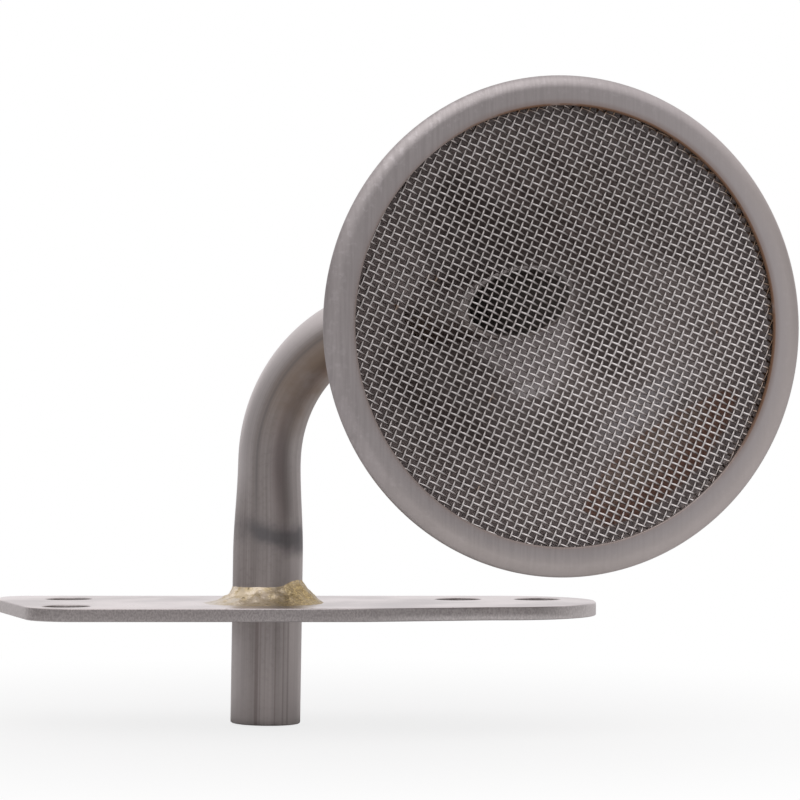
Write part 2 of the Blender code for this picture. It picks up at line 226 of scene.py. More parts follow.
class BellSettings(bpy.types.PropertyGroup):
    turn: FloatProperty(
        name="Turn",
        description="Turn of the screen towards +X",
        default=math.radians(16.4),
        subtype="ANGLE",
    )
    mouth_depth: FloatProperty(
        name="Mouth depth", description="Mouth behind the face", default=0.0154, unit="LENGTH"
    )
    mouth_across: FloatProperty(
        name="Mouth across", description="Mouth from the middle", default=-0.0062, unit="LENGTH"
    )
    mouth_up: FloatProperty(
        name="Mouth up", description="Mouth above the middle", default=0.0055, unit="LENGTH"
    )
    rim_diameter: FloatProperty(
        name="Rim", description="Outside of the folded rim", default=0.1095, unit="LENGTH"
    )
    face_width: FloatProperty(
        name="Rim face", description="Width of the folded face", default=0.0066, unit="LENGTH"
    )
    shoulder: FloatProperty(
        name="Shoulder", description="Rim's edge to the dome", default=0.0077, unit="LENGTH"
    )
    rim_depth: FloatProperty(
        name="Rim depth", description="Front to back of the fold", default=0.0038, unit="LENGTH"
    )
    sheet: FloatProperty(
        name="Sheet", description="Thickness of the pressed sheet", default=0.0009, unit="LENGTH"
    )
    depth: FloatProperty(
        name="Depth", description="Rim face to the dome's crown", default=0.0280, unit="LENGTH"
    )
    neck: FloatProperty(
        name="Neck", description="Radius between dome and rim", default=0.002, unit="LENGTH"
    )
    fullness: FloatProperty(
        name="Fullness", description="2 is an ellipse, more is a flatter crown", default=3.3
    )
    wall_bow: FloatProperty(
        name="Wall bow", description="2 is an ellipse, 1 is a straight cone beside the rim", default=1.3
    )
    rim_roll: FloatProperty(
        name="Rim roll", description="Width of the rim's rounded shoulder", default=0.0028, unit="LENGTH"
    )
    roll_fullness: FloatProperty(
        name="Roll fullness", description="2 is an ellipse, less is a flatter shoulder", default=1.65
    )
    sides: IntProperty(name="Sides", description="Faces round the rim", default=240)
    steel: FloatVectorProperty(
        name="Steel", description="Pressed steel", default=(0.445, 0.414, 0.412), subtype="COLOR"
    )
    dull: FloatVectorProperty(
        name="Inside",
        description="Dull inside of the dome",
        default=(0.43, 0.375, 0.363),
        subtype="COLOR",
    )
    # Painted light inside the dome: its lit zones and the lighter ring near the neck
    painted_light_inside: FloatVectorProperty(
        name="Inside light",
        description="Lighter swept zones",
        default=(0.475, 0.418, 0.408),
        subtype="COLOR",
    )
    # Painted reflection: the light patch in the dome under the tube's mouth
    crown: FloatVectorProperty(
        name="Crown",
        description="Clean patch under the tube's mouth",
        default=(0.57, 0.515, 0.52),
        subtype="COLOR",
    )
    rust: FloatVectorProperty(
        name="Rust", description="Rust at the rim's lip", default=(0.20, 0.11, 0.065), subtype="COLOR"
    )
    stain: FloatVectorProperty(
        name="Stain",
        description="Dried puddle's red border",
        default=(0.37, 0.205, 0.155),
        subtype="COLOR",
    )


class ClothSettings(bpy.types.PropertyGroup):
    wire: FloatProperty(
        name="Wire", description="Diameter of each wire", default=0.00049, unit="LENGTH"
    )
    steep_pitch: FloatProperty(
        name="Steep pitch", description="Between steep wires, 14 an inch", default=0.001814, unit="LENGTH"
    )
    shallow_pitch: FloatProperty(
        name="Shallow pitch",
        description="Between shallow wires, 18 an inch",
        default=0.001411,
        unit="LENGTH",
    )
    shallow_share: FloatProperty(
        name="Shallow crimp", description="Share of the crimp taken by the shallow wires", default=0.72
    )
    turn: FloatProperty(
        name="Turn",
        description="Turn of the shallow wires in the screen",
        default=math.radians(-24.3),
        subtype="ANGLE",
    )
    edge_inset: FloatProperty(
        name="Edge inset", description="Wire ends inside the rim", default=0.0034, unit="LENGTH"
    )
    drift: FloatProperty(
        name="Drift", description="How far the cloth is pulled at its left", default=0.0012, unit="LENGTH"
    )
    steel: FloatVectorProperty(
        name="Wire steel", description="Bright drawn wire", default=(0.63, 0.602, 0.592), subtype="COLOR"
    )
    # Painted shade: the darker colour in the lee of each crossing
    crossing_shade: FloatVectorProperty(
        name="Grime",
        description="Dull film in the lee of each crossing",
        default=(0.32, 0.285, 0.27),
        subtype="COLOR",
    )
    # Where the painted shade lies before each crossing
    lee: FloatProperty(
        name="Lee",
        description="Place of the film before each crossing",
        default=math.radians(50),
        subtype="ANGLE",
    )
    tarnish: FloatVectorProperty(
        name="Tarnish",
        description="Browned wire near the rim",
        default=(0.27, 0.185, 0.13),
        subtype="COLOR",
    )


class BrazeSettings(bpy.types.PropertyGroup):
    height: FloatProperty(
        name="Height", description="Up the tube at the plate", default=0.0038, unit="LENGTH"
    )
    spread: FloatProperty(
        name="Spread", description="Out over the plate", default=0.0044, unit="LENGTH"
    )
    run: FloatProperty(
        name="Run", description="Extra run to the front left", default=0.0042, unit="LENGTH"
    )
    lump: FloatProperty(
        name="Lump", description="Extra height at the front right", default=0.0014, unit="LENGTH"
    )
    bell_leg: FloatProperty(
        name="Bell leg", description="Fillet at the dome", default=0.0036, unit="LENGTH"
    )
    gold: FloatVectorProperty(
        name="Gold", description="Fresh brazing metal", default=(0.92, 0.82, 0.67), subtype="COLOR"
    )
    pale: FloatVectorProperty(
        name="Pale", description="Flux-white film", default=(0.70, 0.65, 0.58), subtype="COLOR"
    )
    olive: FloatVectorProperty(
        name="Olive", description="Burnt brazing metal", default=(0.30, 0.215, 0.10), subtype="COLOR"
    )


class StageSettings(bpy.types.PropertyGroup):
    floor_colour: FloatVectorProperty(
        name="Floor", description="Pale studio floor", default=(0.6, 0.6, 0.6), subtype="COLOR"
    )
    front_light: FloatProperty(
        name="Front", description="Strength of the room in front and all round", default=0.50
    )
    left_light: FloatProperty(
        name="Left", description="Added at the left, where less than 0 is darker", default=-0.08
    )
    right_light: FloatProperty(
        name="Right", description="Added at the right, where less than 0 is darker", default=-0.12
    )
    top_light: FloatProperty(
        name="Top", description="Added overhead", default=0.6
    )
    back_light: FloatProperty(
        name="Back", description="Added behind, above the horizon", default=0.56
    )
    top_power: FloatProperty(
        name="Soft lamp", description="Lamp high in front", default=1.0, unit="POWER"
    )
    camera_distance: FloatProperty(
        name="Camera distance", description="In front of the tube", default=0.795, unit="LENGTH"
    )
    camera_height: FloatProperty(
        name="Camera height", description="Above the plate", default=0.049, unit="LENGTH"
    )
    camera_side: FloatProperty(
        name="Camera side", description="Right of the tube", default=0.0303, unit="LENGTH"
    )
    lens: FloatProperty(name="Lens", description="Focal length in millimetres", default=157.05)


class PickupSettings(bpy.types.PropertyGroup):
    tube: PointerProperty(type=TubeSettings)
    plate: PointerProperty(type=PlateSettings)
    bell: PointerProperty(type=BellSettings)
    cloth: PointerProperty(type=ClothSettings)
    braze: PointerProperty(type=BrazeSettings)
    stage: PointerProperty(type=StageSettings)


# Shared forms

CRISP_EDGE = math.radians(40)
SOFT_EDGE = math.radians(70)


def turns(count):
    """Even angles all the way round."""
    return [2 * math.pi * i / count for i in range(count)]


def smooth_step(value):
    value = min(max(value, 0), 1)
    return value * value * (3 - 2 * value)


def toward(angle, degrees):
    """1 where the angle points along the heading, falling to 0 behind it."""
    return smooth_step((1 + math.cos(angle - math.radians(degrees))) / 2) ** 2


def mesh_from(name, bm, material=None):
    """The finished bmesh as a mesh, with its material."""
    mesh = bpy.data.meshes.new(name)
    bm.to_mesh(mesh)
    bm.free()
    if material:
        mesh.materials.append(material)
    return mesh


def placed(name, mesh):
    """A new object for the mesh, in the scene."""
    piece = bpy.data.objects.new(name, mesh)
    bpy.context.scene.collection.objects.link(piece)
    return piece


def piece_from(name, bm, material=None, sharp_angle=CRISP_EDGE):
    """A closed piece of the finished bmesh, smooth except where it turns sharply."""
    bmesh.ops.recalc_face_normals(bm, faces=bm.faces)
    mesh = mesh_from(name, bm, material)
    mesh.shade_smooth()
    mesh.set_sharp_from_angle(angle=sharp_angle)
    return placed(name, mesh)


def dress(piece, node):
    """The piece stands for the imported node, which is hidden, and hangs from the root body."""
    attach(piece, "root")
    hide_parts(node)


def baked(piece, name):
    """The piece with its modifiers applied, as a new plain object under the given name."""
    graph = bpy.context.evaluated_depsgraph_get()
    mesh = bpy.data.meshes.new_from_object(piece.evaluated_get(graph), depsgraph=graph)
    bpy.data.objects.remove(piece, do_unlink=True)
    return placed(name, mesh)


def skin(bm, rows):
    """Faces between neighbouring rings of vertices. A ring of one vertex is a pole."""
    for low, high in zip(rows, rows[1:]):
        sides = max(len(low), len(high))
        for i in range(sides):
            j = (i + 1) % sides
            near, far = (low[i % len(low)], low[j % len(low)]), (high[j % len(high)], high[i % len(high)])
            bm.faces.new(list(dict.fromkeys(near + far)))


def loft(bm, rings, ring_of_rings=False):
    """Skins a row of rings of points. The ends are capped, or joined to each other."""
    rows = [[bm.verts.new(point) for point in ring] for ring in rings]
    if ring_of_rings:
        rows.append(rows[0])
    else:
        bm.faces.new(rows[0])
        bm.faces.new(rows[-1])
    skin(bm, rows)


# The tube

AXIS_STEPS = 1500
STATION_GAP = 0.0011
LEAST_GAP = 0.0006
END_BREAK_STEPS = 4
RUN_OUT_STEPS = 14
MOUTH_BREAK = 0.00012


class TubeRoute:
    """The tube's axis and its oval section, from the stub to the mouth inside the bell."""

    def __init__(self, sizes):
        self.sizes = sizes
        self.angles = turns(sizes.sides)
        self.heading = Vector((math.cos(sizes.heading), math.sin(sizes.heading), 0))
        self.sideways = Vector((-math.sin(sizes.heading), math.cos(sizes.heading), 0))
        self.bend_end = sizes.bend_start + sizes.bend_radius * (sizes.end_slope - sizes.lean)
        self.length = self.bend_end + sizes.run_out
        self.distances = np.linspace(0, self.length, AXIS_STEPS + 1)
        middles = (self.distances[1:] + self.distances[:-1]) / 2
        strides = np.array([self.direction(at) for at in middles]) * (self.length / AXIS_STEPS)
        self.points = np.vstack([np.zeros(3), np.cumsum(strides, axis=0)])

    def eased(self, distance):
        """0 before the turn, the distance past it, and a smooth change between."""
        half = self.sizes.ease / 2
        if distance <= -half:
            return 0
        if distance >= half:
            return distance
        return (distance + half) ** 2 / (4 * half)

    def direction(self, along):
        sizes = self.sizes
        past_start = self.eased(along - sizes.bend_start)
        past_end = self.eased(along - self.bend_end)
        angle = sizes.lean + (past_start - past_end) / sizes.bend_radius
        return UP * math.cos(angle) + self.heading * math.sin(angle)

    def middle(self, along):
        if along < 0:
            return self.direction(0) * along
        if along > self.length:
            past = self.direction(self.length) * (along - self.length)
            return Vector(self.points[-1]) + past
        return Vector([np.interp(along, self.distances, self.points[:, i]) for i in range(3)])

    def half_axes(self, along, outset):
        """The oval's half height in the bend's plane and its half width across that plane."""
        sizes = self.sizes
        flat = smooth_step((along - sizes.bend_start + sizes.lead) / sizes.lead)
        if along > self.bend_end:
            flat = max(1 - (along - self.bend_end) / sizes.run_out, 0)
        radius = sizes.diameter / 2 + outset
        return radius - flat * sizes.flattened / 2, radius + flat * sizes.spread_out / 2

    def point(self, along, angle, outset=0):
        height, width = self.half_axes(along, outset)
        inward = self.sideways.cross(self.direction(along))
        side = self.sideways * width * math.sin(angle)
        return self.middle(along) + inward * height * math.cos(angle) + side

    def normal(self, along, angle):
        height, width = self.half_axes(along, 0)
        inward = self.sideways.cross(self.direction(along))
        side = self.sideways * math.sin(angle) / width
        return (inward * math.cos(angle) / height + side).normalized()

    def ring(self, along, outset=0):
        return [self.point(along, angle, outset) for angle in self.angles]


def bell_ways(turn):
    """The ways across the screen and out of its face."""
    across = Vector((math.cos(turn), math.sin(turn), 0))
    return across, across.cross(UP)


def strainer_place(route, sizes):
    """Matrix of the bell's own axes: X across the screen, Y up it, Z out of its face."""
    across, face = bell_ways(sizes.turn)
    mouth = route.middle(route.length)
    middle = mouth - across * sizes.mouth_across - UP * sizes.mouth_up + face * sizes.mouth_depth
    turn = Matrix((across, UP, face)).transposed().to_4x4()
    return Matrix.Translation(middle) @ turn


def mouth_reach(route, bell):
    """How far along the axis the tube reaches at each angle, up to the slanted cut."""
    across, face = bell_ways(bell.turn)
    cut = Matrix.Rotation(route.sizes.mouth_tilt, 3, across) @ face
    way = route.direction(route.length)
    middle = route.middle(route.length)

    def reach(angle, outset):
        point = route.point(route.length, angle, outset)
        return route.length + (middle - point).dot(cut) / way.dot(cut)

    return reach


def tube_rows(route, bell):
    """Rings of (along, angle, outset) up the tube's outside and back down its bore."""
    sizes = route.sizes
    reach = mouth_reach(route, bell)
    straight = route.bend_end + sizes.ease / 2
    start = -sizes.stub_length
    first = start + sizes.end_break
    count = math.ceil((straight - LEAST_GAP - first) / STATION_GAP)
    stations = [first + STATION_GAP * i for i in range(count)] + [straight]
    rows = []
    for i in range(END_BREAK_STEPS):
        turn = QUARTER * i / END_BREAK_STEPS
        inset = sizes.end_break * (1 - math.sin(turn))
        rise = sizes.end_break * (1 - math.cos(turn))
        rows.append([(start + rise, angle, -inset) for angle in route.angles])
    for at in stations:
        rows.append([(at, angle, 0) for angle in route.angles])
    for i in range(1, RUN_OUT_STEPS + 1):
        share = i / RUN_OUT_STEPS
        ends = [reach(angle, 0) - MOUTH_BREAK for angle in route.angles]
        rows.append([(straight + (end - straight) * share, a, 0) for end, a in zip(ends, route.angles)])
    rows.append([(reach(angle, -MOUTH_BREAK), angle, -MOUTH_BREAK) for angle in route.angles])
    rows.append([(reach(angle, -sizes.wall), angle, -sizes.wall) for angle in route.angles])
    for at in [straight] + stations[2::2][::-1] + [start]:
        rows.append([(at, angle, -sizes.wall) for angle in route.angles])
    return rows


def tube_mesh(route, bell):
    """The tube's closed skin, with each point's place round and along it kept with it."""
    sizes = route.sizes
    rows = tube_rows(route, bell)
    bm = bmesh.new()
    loft(bm, [[route.point(*place) for place in row] for row in rows], ring_of_rings=True)
    skins = []
    for row in rows:
        for along, angle, outset in row:
            size = 1 + outset / sizes.wall * 0.5
            skins.append((math.cos(angle) * size, math.sin(angle) * size, along / sizes.diameter * 2))
    return bm, skins


# The bell

FACE_STEPS = 6
ROLL_STEPS = 16
FOLD_STEPS = 12
NECK_STEPS = 10
DOME_STEPS = 56
LIP_STEPS = 6
LIP_START = 0.2
LIP_ROUNDNESS = 0.45


def arc(middle, radius, start, end, steps):
    """Points (radius, height) on an arc, both ends included."""
    angles = [start + (end - start) * i / steps for i in range(steps + 1)]
    return [(middle[0] + radius * math.cos(a), middle[1] + radius * math.sin(a)) for a in angles]


class BellProfile:
    """Section of the pressed sheet: lip, fold, shoulder, neck and dome."""

    def __init__(self, sizes):
        self.sizes = sizes
        self.half = sizes.sheet / 2
        rim_radius = sizes.rim_diameter / 2
        self.opening = rim_radius - sizes.face_width
        self.dome_radius = rim_radius - sizes.shoulder + self.half
        self.dome_depth = sizes.rim_depth - self.half + sizes.neck
        self.dome_height = sizes.depth + self.half - self.dome_depth
        self.outer_radius = self.dome_radius + self.half
        self.outer_height = self.dome_height + self.half

    def rolled_face(self):
        """The rim's flat face and its rounded shoulder, from the lip to the fold."""
        sizes, half = self.sizes, self.half
        lip = self.opening + half * LIP_START
        roll_start = sizes.rim_diameter / 2 - sizes.rim_roll
        line = [(lip + (roll_start - lip) * i / FACE_STEPS, -half) for i in range(FACE_STEPS)]
        fold_radius = (sizes.rim_depth - sizes.sheet) / 2
        power = 2 / sizes.roll_fullness
        for i in range(ROLL_STEPS):
            turn = QUARTER * (1 - i / ROLL_STEPS)
            reach = (sizes.rim_roll - half) * math.cos(turn) ** power
            line.append((roll_start + reach, -sizes.rim_depth / 2 + fold_radius * math.sin(turn) ** power))
        return line

    def dome(self):
        """The dome from the neck to its crown."""
        line = []
        for i in range(1, DOME_STEPS):
            angle = QUARTER * i / DOME_STEPS
            radius = self.dome_radius * math.cos(angle) ** (2 / self.sizes.fullness)
            drop = self.dome_height * math.sin(angle) ** (2 / self.sizes.wall_bow)
            line.append((radius, -self.dome_depth - drop))
        return line + [(0, -self.dome_depth - self.dome_height)]

    def centreline(self):
        sizes = self.sizes
        fold_radius = (sizes.rim_depth - sizes.sheet) / 2
        fold = ((sizes.rim_diameter - sizes.rim_depth) / 2, -sizes.rim_depth / 2)
        neck = (self.dome_radius + sizes.neck, -self.dome_depth)
        line = self.rolled_face()
        line += arc(fold, fold_radius, 0, -QUARTER, FOLD_STEPS)
        line += arc(neck, sizes.neck, QUARTER, 2 * QUARTER, NECK_STEPS)
        return line + self.dome()

    def closed_section(self):
        """Both faces of the sheet, joined by the lip's rounded edge."""
        points = np.array(self.centreline())
        runs = np.gradient(points, axis=0)
        runs[0] = points[1] - points[0]
        runs[-1] = (-1, 0)
        runs /= np.linalg.norm(runs, axis=1)[:, None]
        sides = np.stack([-runs[:, 1], runs[:, 0]], axis=1) * self.half
        lip = []
        for i in range(1, LIP_STEPS):
            turn = QUARTER + math.pi * i / LIP_STEPS
            round_off = np.array((math.cos(turn) * LIP_ROUNDNESS, math.sin(turn))) * self.half
            lip.append(points[0] + round_off)
        return [*(points + sides)[::-1], *lip, *(points - sides)]

    def shares(self, local):
        """How far out and down the point is, as shares of the dome's outer face."""
        down = max(-local.z - self.dome_depth, 1e-6)
        return math.hypot(local.x, local.y) / self.outer_radius, down / self.outer_height

    def reading(self, local):
        """Below 0 inside the dome's outer face and above 0 outside it."""
        out, down = self.shares(local)
        return out**self.sizes.fullness + down**self.sizes.wall_bow - 1

    def slope(self, local):
        """The way in which the reading grows fastest."""
        fullness, bow = self.sizes.fullness, self.sizes.wall_bow
        out, down = self.shares(local)
        outward = fullness * out ** (fullness - 2) / self.outer_radius**2
        back = -bow * down ** (bow - 1) / self.outer_height
        return Vector((local.x * outward, local.y * outward, back))


def bell_mesh(profile, sides):
    """The section turned round the bell's axis, with a pole at each face's crown."""
    bm = bmesh.new()
    rows = []
    for radius, height in profile.closed_section():
        if radius < 1e-7:
            rows.append([bm.verts.new((0, 0, height))])
        else:
            ring = [(radius * math.cos(a), radius * math.sin(a), height) for a in turns(sides)]
            rows.append([bm.verts.new(point) for point in ring])
    skin(bm, rows)
    return bm


# The plate

# How far each bolt hole's middle is in from the nearer end and edge
LEFT_BACK_HOLE = (0.0166, 0.0124)
LEFT_FRONT_HOLE = (0.0188, 0.0094)
RIGHT_INNER_HOLE = (0.0313, 0.0134)
RIGHT_OUTER_HOLE = (0.0130, 0.0136)
HOLE_SIDES = 72
OUTLINE_STEP = math.radians(3)
EDGE_STEPS = 4


def plate_corners(sizes):
    """The outline's corners, each with the radius of its arc."""
    slant_run = (sizes.tip_y - sizes.front) * math.tan(sizes.slant)
    stepped_front = sizes.front + sizes.step
    step_end = sizes.right - sizes.step_inset
    return [
        (sizes.left + slant_run, sizes.front, sizes.slant_radius),
        (step_end - sizes.step_run, sizes.front, sizes.step_radius),
        (step_end, stepped_front, sizes.step_radius),
        (sizes.right, stepped_front, sizes.end_radius),
        (sizes.right, sizes.back, sizes.end_radius),
        (sizes.left, sizes.back, sizes.back_radius),
        (sizes.left, sizes.tip_y, sizes.tip_radius),
    ]


def bolt_places(sizes):
    return [
        Vector((sizes.left + LEFT_BACK_HOLE[0], sizes.back - LEFT_BACK_HOLE[1])),
        Vector((sizes.left + LEFT_FRONT_HOLE[0], sizes.front + LEFT_FRONT_HOLE[1])),
        Vector((sizes.right - RIGHT_INNER_HOLE[0], sizes.back - RIGHT_INNER_HOLE[1])),
        Vector((sizes.right - RIGHT_OUTER_HOLE[0], sizes.back - RIGHT_OUTER_HOLE[1])),
    ]


def rounded_outline(corners):
    """Outline through (x, y, radius) corners, with each corner's arc in even steps."""
    outline = []
    for i, (x, y, radius) in enumerate(corners):
        here = Vector((x, y))
        back = (Vector(corners[i - 1][:2]) - here).normalized()
        ahead = (Vector(corners[(i + 1) % len(corners)][:2]) - here).normalized()
        half_angle = back.angle(ahead) / 2
        middle = here + (back + ahead).normalized() * (radius / math.sin(half_angle))
        start = here + back * (radius / math.tan(half_angle)) - middle
        sweep = math.pi - 2 * half_angle
        if back.x * ahead.y - back.y * ahead.x > 0:
            sweep = -sweep
        steps = max(1, round(abs(sweep) / OUTLINE_STEP))
        for k in range(steps + 1):
            outline.append(middle + Matrix.Rotation(sweep * k / steps, 2) @ start)
    return outline


def hole_loop(place, radius):
    """A hole's edge, clockwise, so that the metal lies to its left."""
    return [place + Vector((math.cos(turn), -math.sin(turn))) * radius for turn in turns(HOLE_SIDES)]


def inset_loop(loop, distance):
    """The closed loop moved into the metal, which lies to its left."""
    moved = []
    for i, here in enumerate(loop):
        run = (loop[(i + 1) % len(loop)] - loop[i - 1]).normalized()
        moved.append(here + Vector((-run.y, run.x)) * distance)
    return moved


def broken_edge(sizes):
    """The (inset, height) steps up a cut edge, rounded at its foot and its top."""
    foot, top = [], []
    for i in range(EDGE_STEPS + 1):
        turn = QUARTER * i / EDGE_STEPS
        near, far = sizes.edge_break * (1 - math.sin(turn)), sizes.edge_break * (1 - math.cos(turn))
        foot.append((near, far))
        top.append((far, sizes.thickness - near))
    return foot + top


def plate_mesh(sizes, tube_radius):
    """Flat faces between rounded edges, round the outline and each hole."""
    loops = [rounded_outline(plate_corners(sizes))]
    loops += [hole_loop(place, sizes.hole_diameter / 2) for place in bolt_places(sizes)]
    loops.append(hole_loop(Vector((0, 0)), tube_radius))
    bm = bmesh.new()
    flats = ([], [])
    for loop in loops:
        rows = []
        for inset, height in broken_edge(sizes):
            rows.append([bm.verts.new((p.x, p.y, height)) for p in inset_loop(loop, inset)])
        skin(bm, rows)
        for flat, ring in zip(flats, (rows[0], rows[-1])):
            flat += [bm.edges.get((ring[i - 1], ring[i])) for i in range(len(ring))]
    for flat in flats:
        bmesh.ops.triangle_fill(bm, edges=flat, use_beauty=True)
    bmesh.ops.recalc_face_normals(bm, faces=bm.faces)
    for face in bm.faces:
        face.smooth = abs(face.normal.z) < 0.9999
    return bm


# The brazing

BRAZE_SINK = 0.00015
PLATE_BRAZE_SIDES = 168
PLATE_BRAZE_STEPS = 14
BELL_BRAZE_SIDES = 144
BELL_BRAZE_STEPS = 10
ENTRY_SEARCHES = 40
LUMPS_A_METRE = 420
LUMP_DEPTH = 0.0005
BELL_LUMP_DEPTH = 0.0004


def braze_section(corner, tube_side, shell_side, up_tube, along_shell, height, spread, hollow, steps):
    """A hollow-faced fillet in the corner of the tube and the shell that it enters."""
    root = corner - (tube_side + shell_side) * BRAZE_SINK
    high = corner + up_tube * height - tube_side * BRAZE_SINK * 0.3
    wide = corner + along_shell * spread - shell_side * BRAZE_SINK * 0.3
    pull = (high + wide) / 2 + (corner - (high + wide) / 2) * hollow
    face = []
    for i in range(steps + 1):
        t = i / steps
        face.append(high * (1 - t) ** 2 + pull * 2 * t * (1 - t) + wide * t**2)
    return [root, root + up_tube * height * 0.9, *face, root + along_shell * spread * 0.9]


def lumpy(section, outward, depth, seed):
    """The section with slow lumps on its face, least at the face's two edges."""
    root, foot, *face, end = section
    swollen = []
    for k, point in enumerate(face):
        wave = noise.noise(point * LUMPS_A_METRE + Vector((seed, 0, 0)))
        fine = noise.noise(point * LUMPS_A_METRE * 3.1 + Vector((0, seed, 0)))
        rise = math.sin(math.pi * k / (len(face) - 1)) * (wave + 0.4 * fine)
        swollen.append(point + outward * depth * rise)
    return [root, foot, *swollen, end]


def wobble_round(angle, scale, seed):
    """A slow uneven wave round the tube, between -1 and 1, that joins up with itself."""
    return noise.noise(Vector((math.cos(angle), math.sin(angle), seed)) * scale)


def plate_braze_section(route, braze, along, angle):
    """Low and run out at the front left, with a lump up the tube at the front right."""
    side = route.normal(along, angle)
    corner = route.point(along, angle)
    corner.z = along
    out = Vector((side.x, side.y, 0)).normalized()
    world = angle + route.sizes.heading
    wobble = wobble_round(world, 2.6, 3)
    ripple = wobble_round(world, 7, 8)
    height = braze.height + braze.lump * toward(world, -24) ** 24
    height += 0.00008 * wobble + 0.00010 * ripple
    spread = braze.spread + braze.run * toward(world, -105) + 0.0004 * wobble + 0.0002 * ripple
    hollow = 0.5 + 0.32 * toward(world, 190) - 0.25 * toward(world, -40)
    up_tube = route.direction(along)
    section = braze_section(corner, side, UP, up_tube, out, height, spread, hollow, PLATE_BRAZE_STEPS)
    return lumpy(section, (out + UP).normalized(), LUMP_DEPTH, 4.0)


def bell_entry(route, profile, inverse, angle):
    """How far along the tube its surface goes into the dome at this angle."""
    low, high = route.bend_end, route.length
    for _ in range(ENTRY_SEARCHES):
        middle = (low + high) / 2
        if profile.reading(inverse @ route.point(middle, angle)) > 0:
            low = middle
        else:
            high = middle
    return low


def bell_braze_section(route, profile, place, leg, angle):
    """An even fillet where the tube goes into the dome."""
    inverse = place.inverted()
    along = bell_entry(route, profile, inverse, angle)
    corner = route.point(along, angle)
    tube_side = route.normal(along, angle)
    shell_side = (place.to_3x3() @ profile.slope(inverse @ corner)).normalized()
    along_shell = (tube_side - shell_side * tube_side.dot(shell_side)).normalized()
    up_tube = -route.direction(along)
    uneven = leg * (1 + 0.12 * wobble_round(angle, 3, 5))
    section = braze_section(
        corner, tube_side, shell_side, up_tube, along_shell, uneven, uneven, 0.5, BELL_BRAZE_STEPS
    )
    return lumpy(section, (tube_side + shell_side).normalized(), BELL_LUMP_DEPTH, 9.0)


def braze_piece(name, node, sections, finish):
    bm = bmesh.new()
    loft(bm, sections, ring_of_rings=True)
    dress(piece_from(name, bm, finish, SOFT_EDGE), node)


# Nodes


class NodeMaker:
    """Adds nodes to a tree. An input takes a socket to link, or a value to keep."""

    def __init__(self, tree):
        self.tree = tree

    def put(self, socket, value):
        if isinstance(value, bpy.types.NodeSocket):
            self.tree.links.new(value, socket)
        elif isinstance(value, (int, float, str)):
            socket.default_value = value
        else:
            alpha = (1.0,) * (len(socket.default_value) - len(value))
            socket.default_value = (*value, *alpha)

    def add(self, kind, inputs=None, **settings):
        """A new node with the given settings and inputs, each input by its name or number."""
        node = self.tree.nodes.new(kind)
        for name, value in settings.items():
            setattr(node, name, value)
        for name, value in (inputs or {}).items():
            self.put(node.inputs[name], value)
        return node

    def math(self, operation, first, second=0.0, third=0.0):
        return self.add("ShaderNodeMath", {0: first, 1: second, 2: third}, operation=operation).outputs[0]

    def scaled(self, value, factor, added=0.0):
        """The value times the factor, plus what is added."""
        return self.math("MULTIPLY_ADD", value, factor, added)

    def over_all(self, operation, values):
        result = values[0]
        for value in values[1:]:
            result = self.math(operation, result, value)
        return result

    def times(self, *values):
        return self.over_all("MULTIPLY", values)

    def plus(self, *values):
        return self.over_all("ADD", values)

    def highest(self, *values):
        return self.over_all("MAXIMUM", values)

    def span(self, value, low, high, to_low=0.0, to_high=1.0):
        """The value's run from low to high, eased, as a run from to_low to to_high."""
        inputs = {"Value": value, "From Min": low, "From Max": high, "To Min": to_low, "To Max": to_high}
        return self.add("ShaderNodeMapRange", inputs, interpolation_type="SMOOTHSTEP").outputs["Result"]

    def vector(self, operation, first, second=(0, 0, 0)):
        outputs = self.add("ShaderNodeVectorMath", {0: first, 1: second}, operation=operation).outputs
        gives_number = operation in ("DOT_PRODUCT", "LENGTH", "DISTANCE")
        return outputs["Value" if gives_number else "Vector"]

    def longer(self, vector, factor):
        """The vector times the factor."""
        inputs = {0: vector, "Scale": factor}
        return self.add("ShaderNodeVectorMath", inputs, operation="SCALE").outputs["Vector"]

    def parts(self, vector):
        """The vector's X, Y and Z."""
        return self.add("ShaderNodeSeparateXYZ", {0: vector}).outputs

    def joined(self, axis, value):
        """A vector with the value on one axis and 0 on the others."""
        return self.add("ShaderNodeCombineXYZ", {axis: value}).outputs["Vector"]

    def place(self, kind="Object"):
        return self.add("ShaderNodeTexCoord").outputs[kind]

    def camera_sees(self):
        return self.add("ShaderNodeLightPath").outputs["Is Camera Ray"]

    def blend(self, share, first, second):
        """The first shader's output with the second's laid over it by its share."""
        return self.add("ShaderNodeMixShader", {"Fac": share, 1: first, 2: second}).outputs[0]


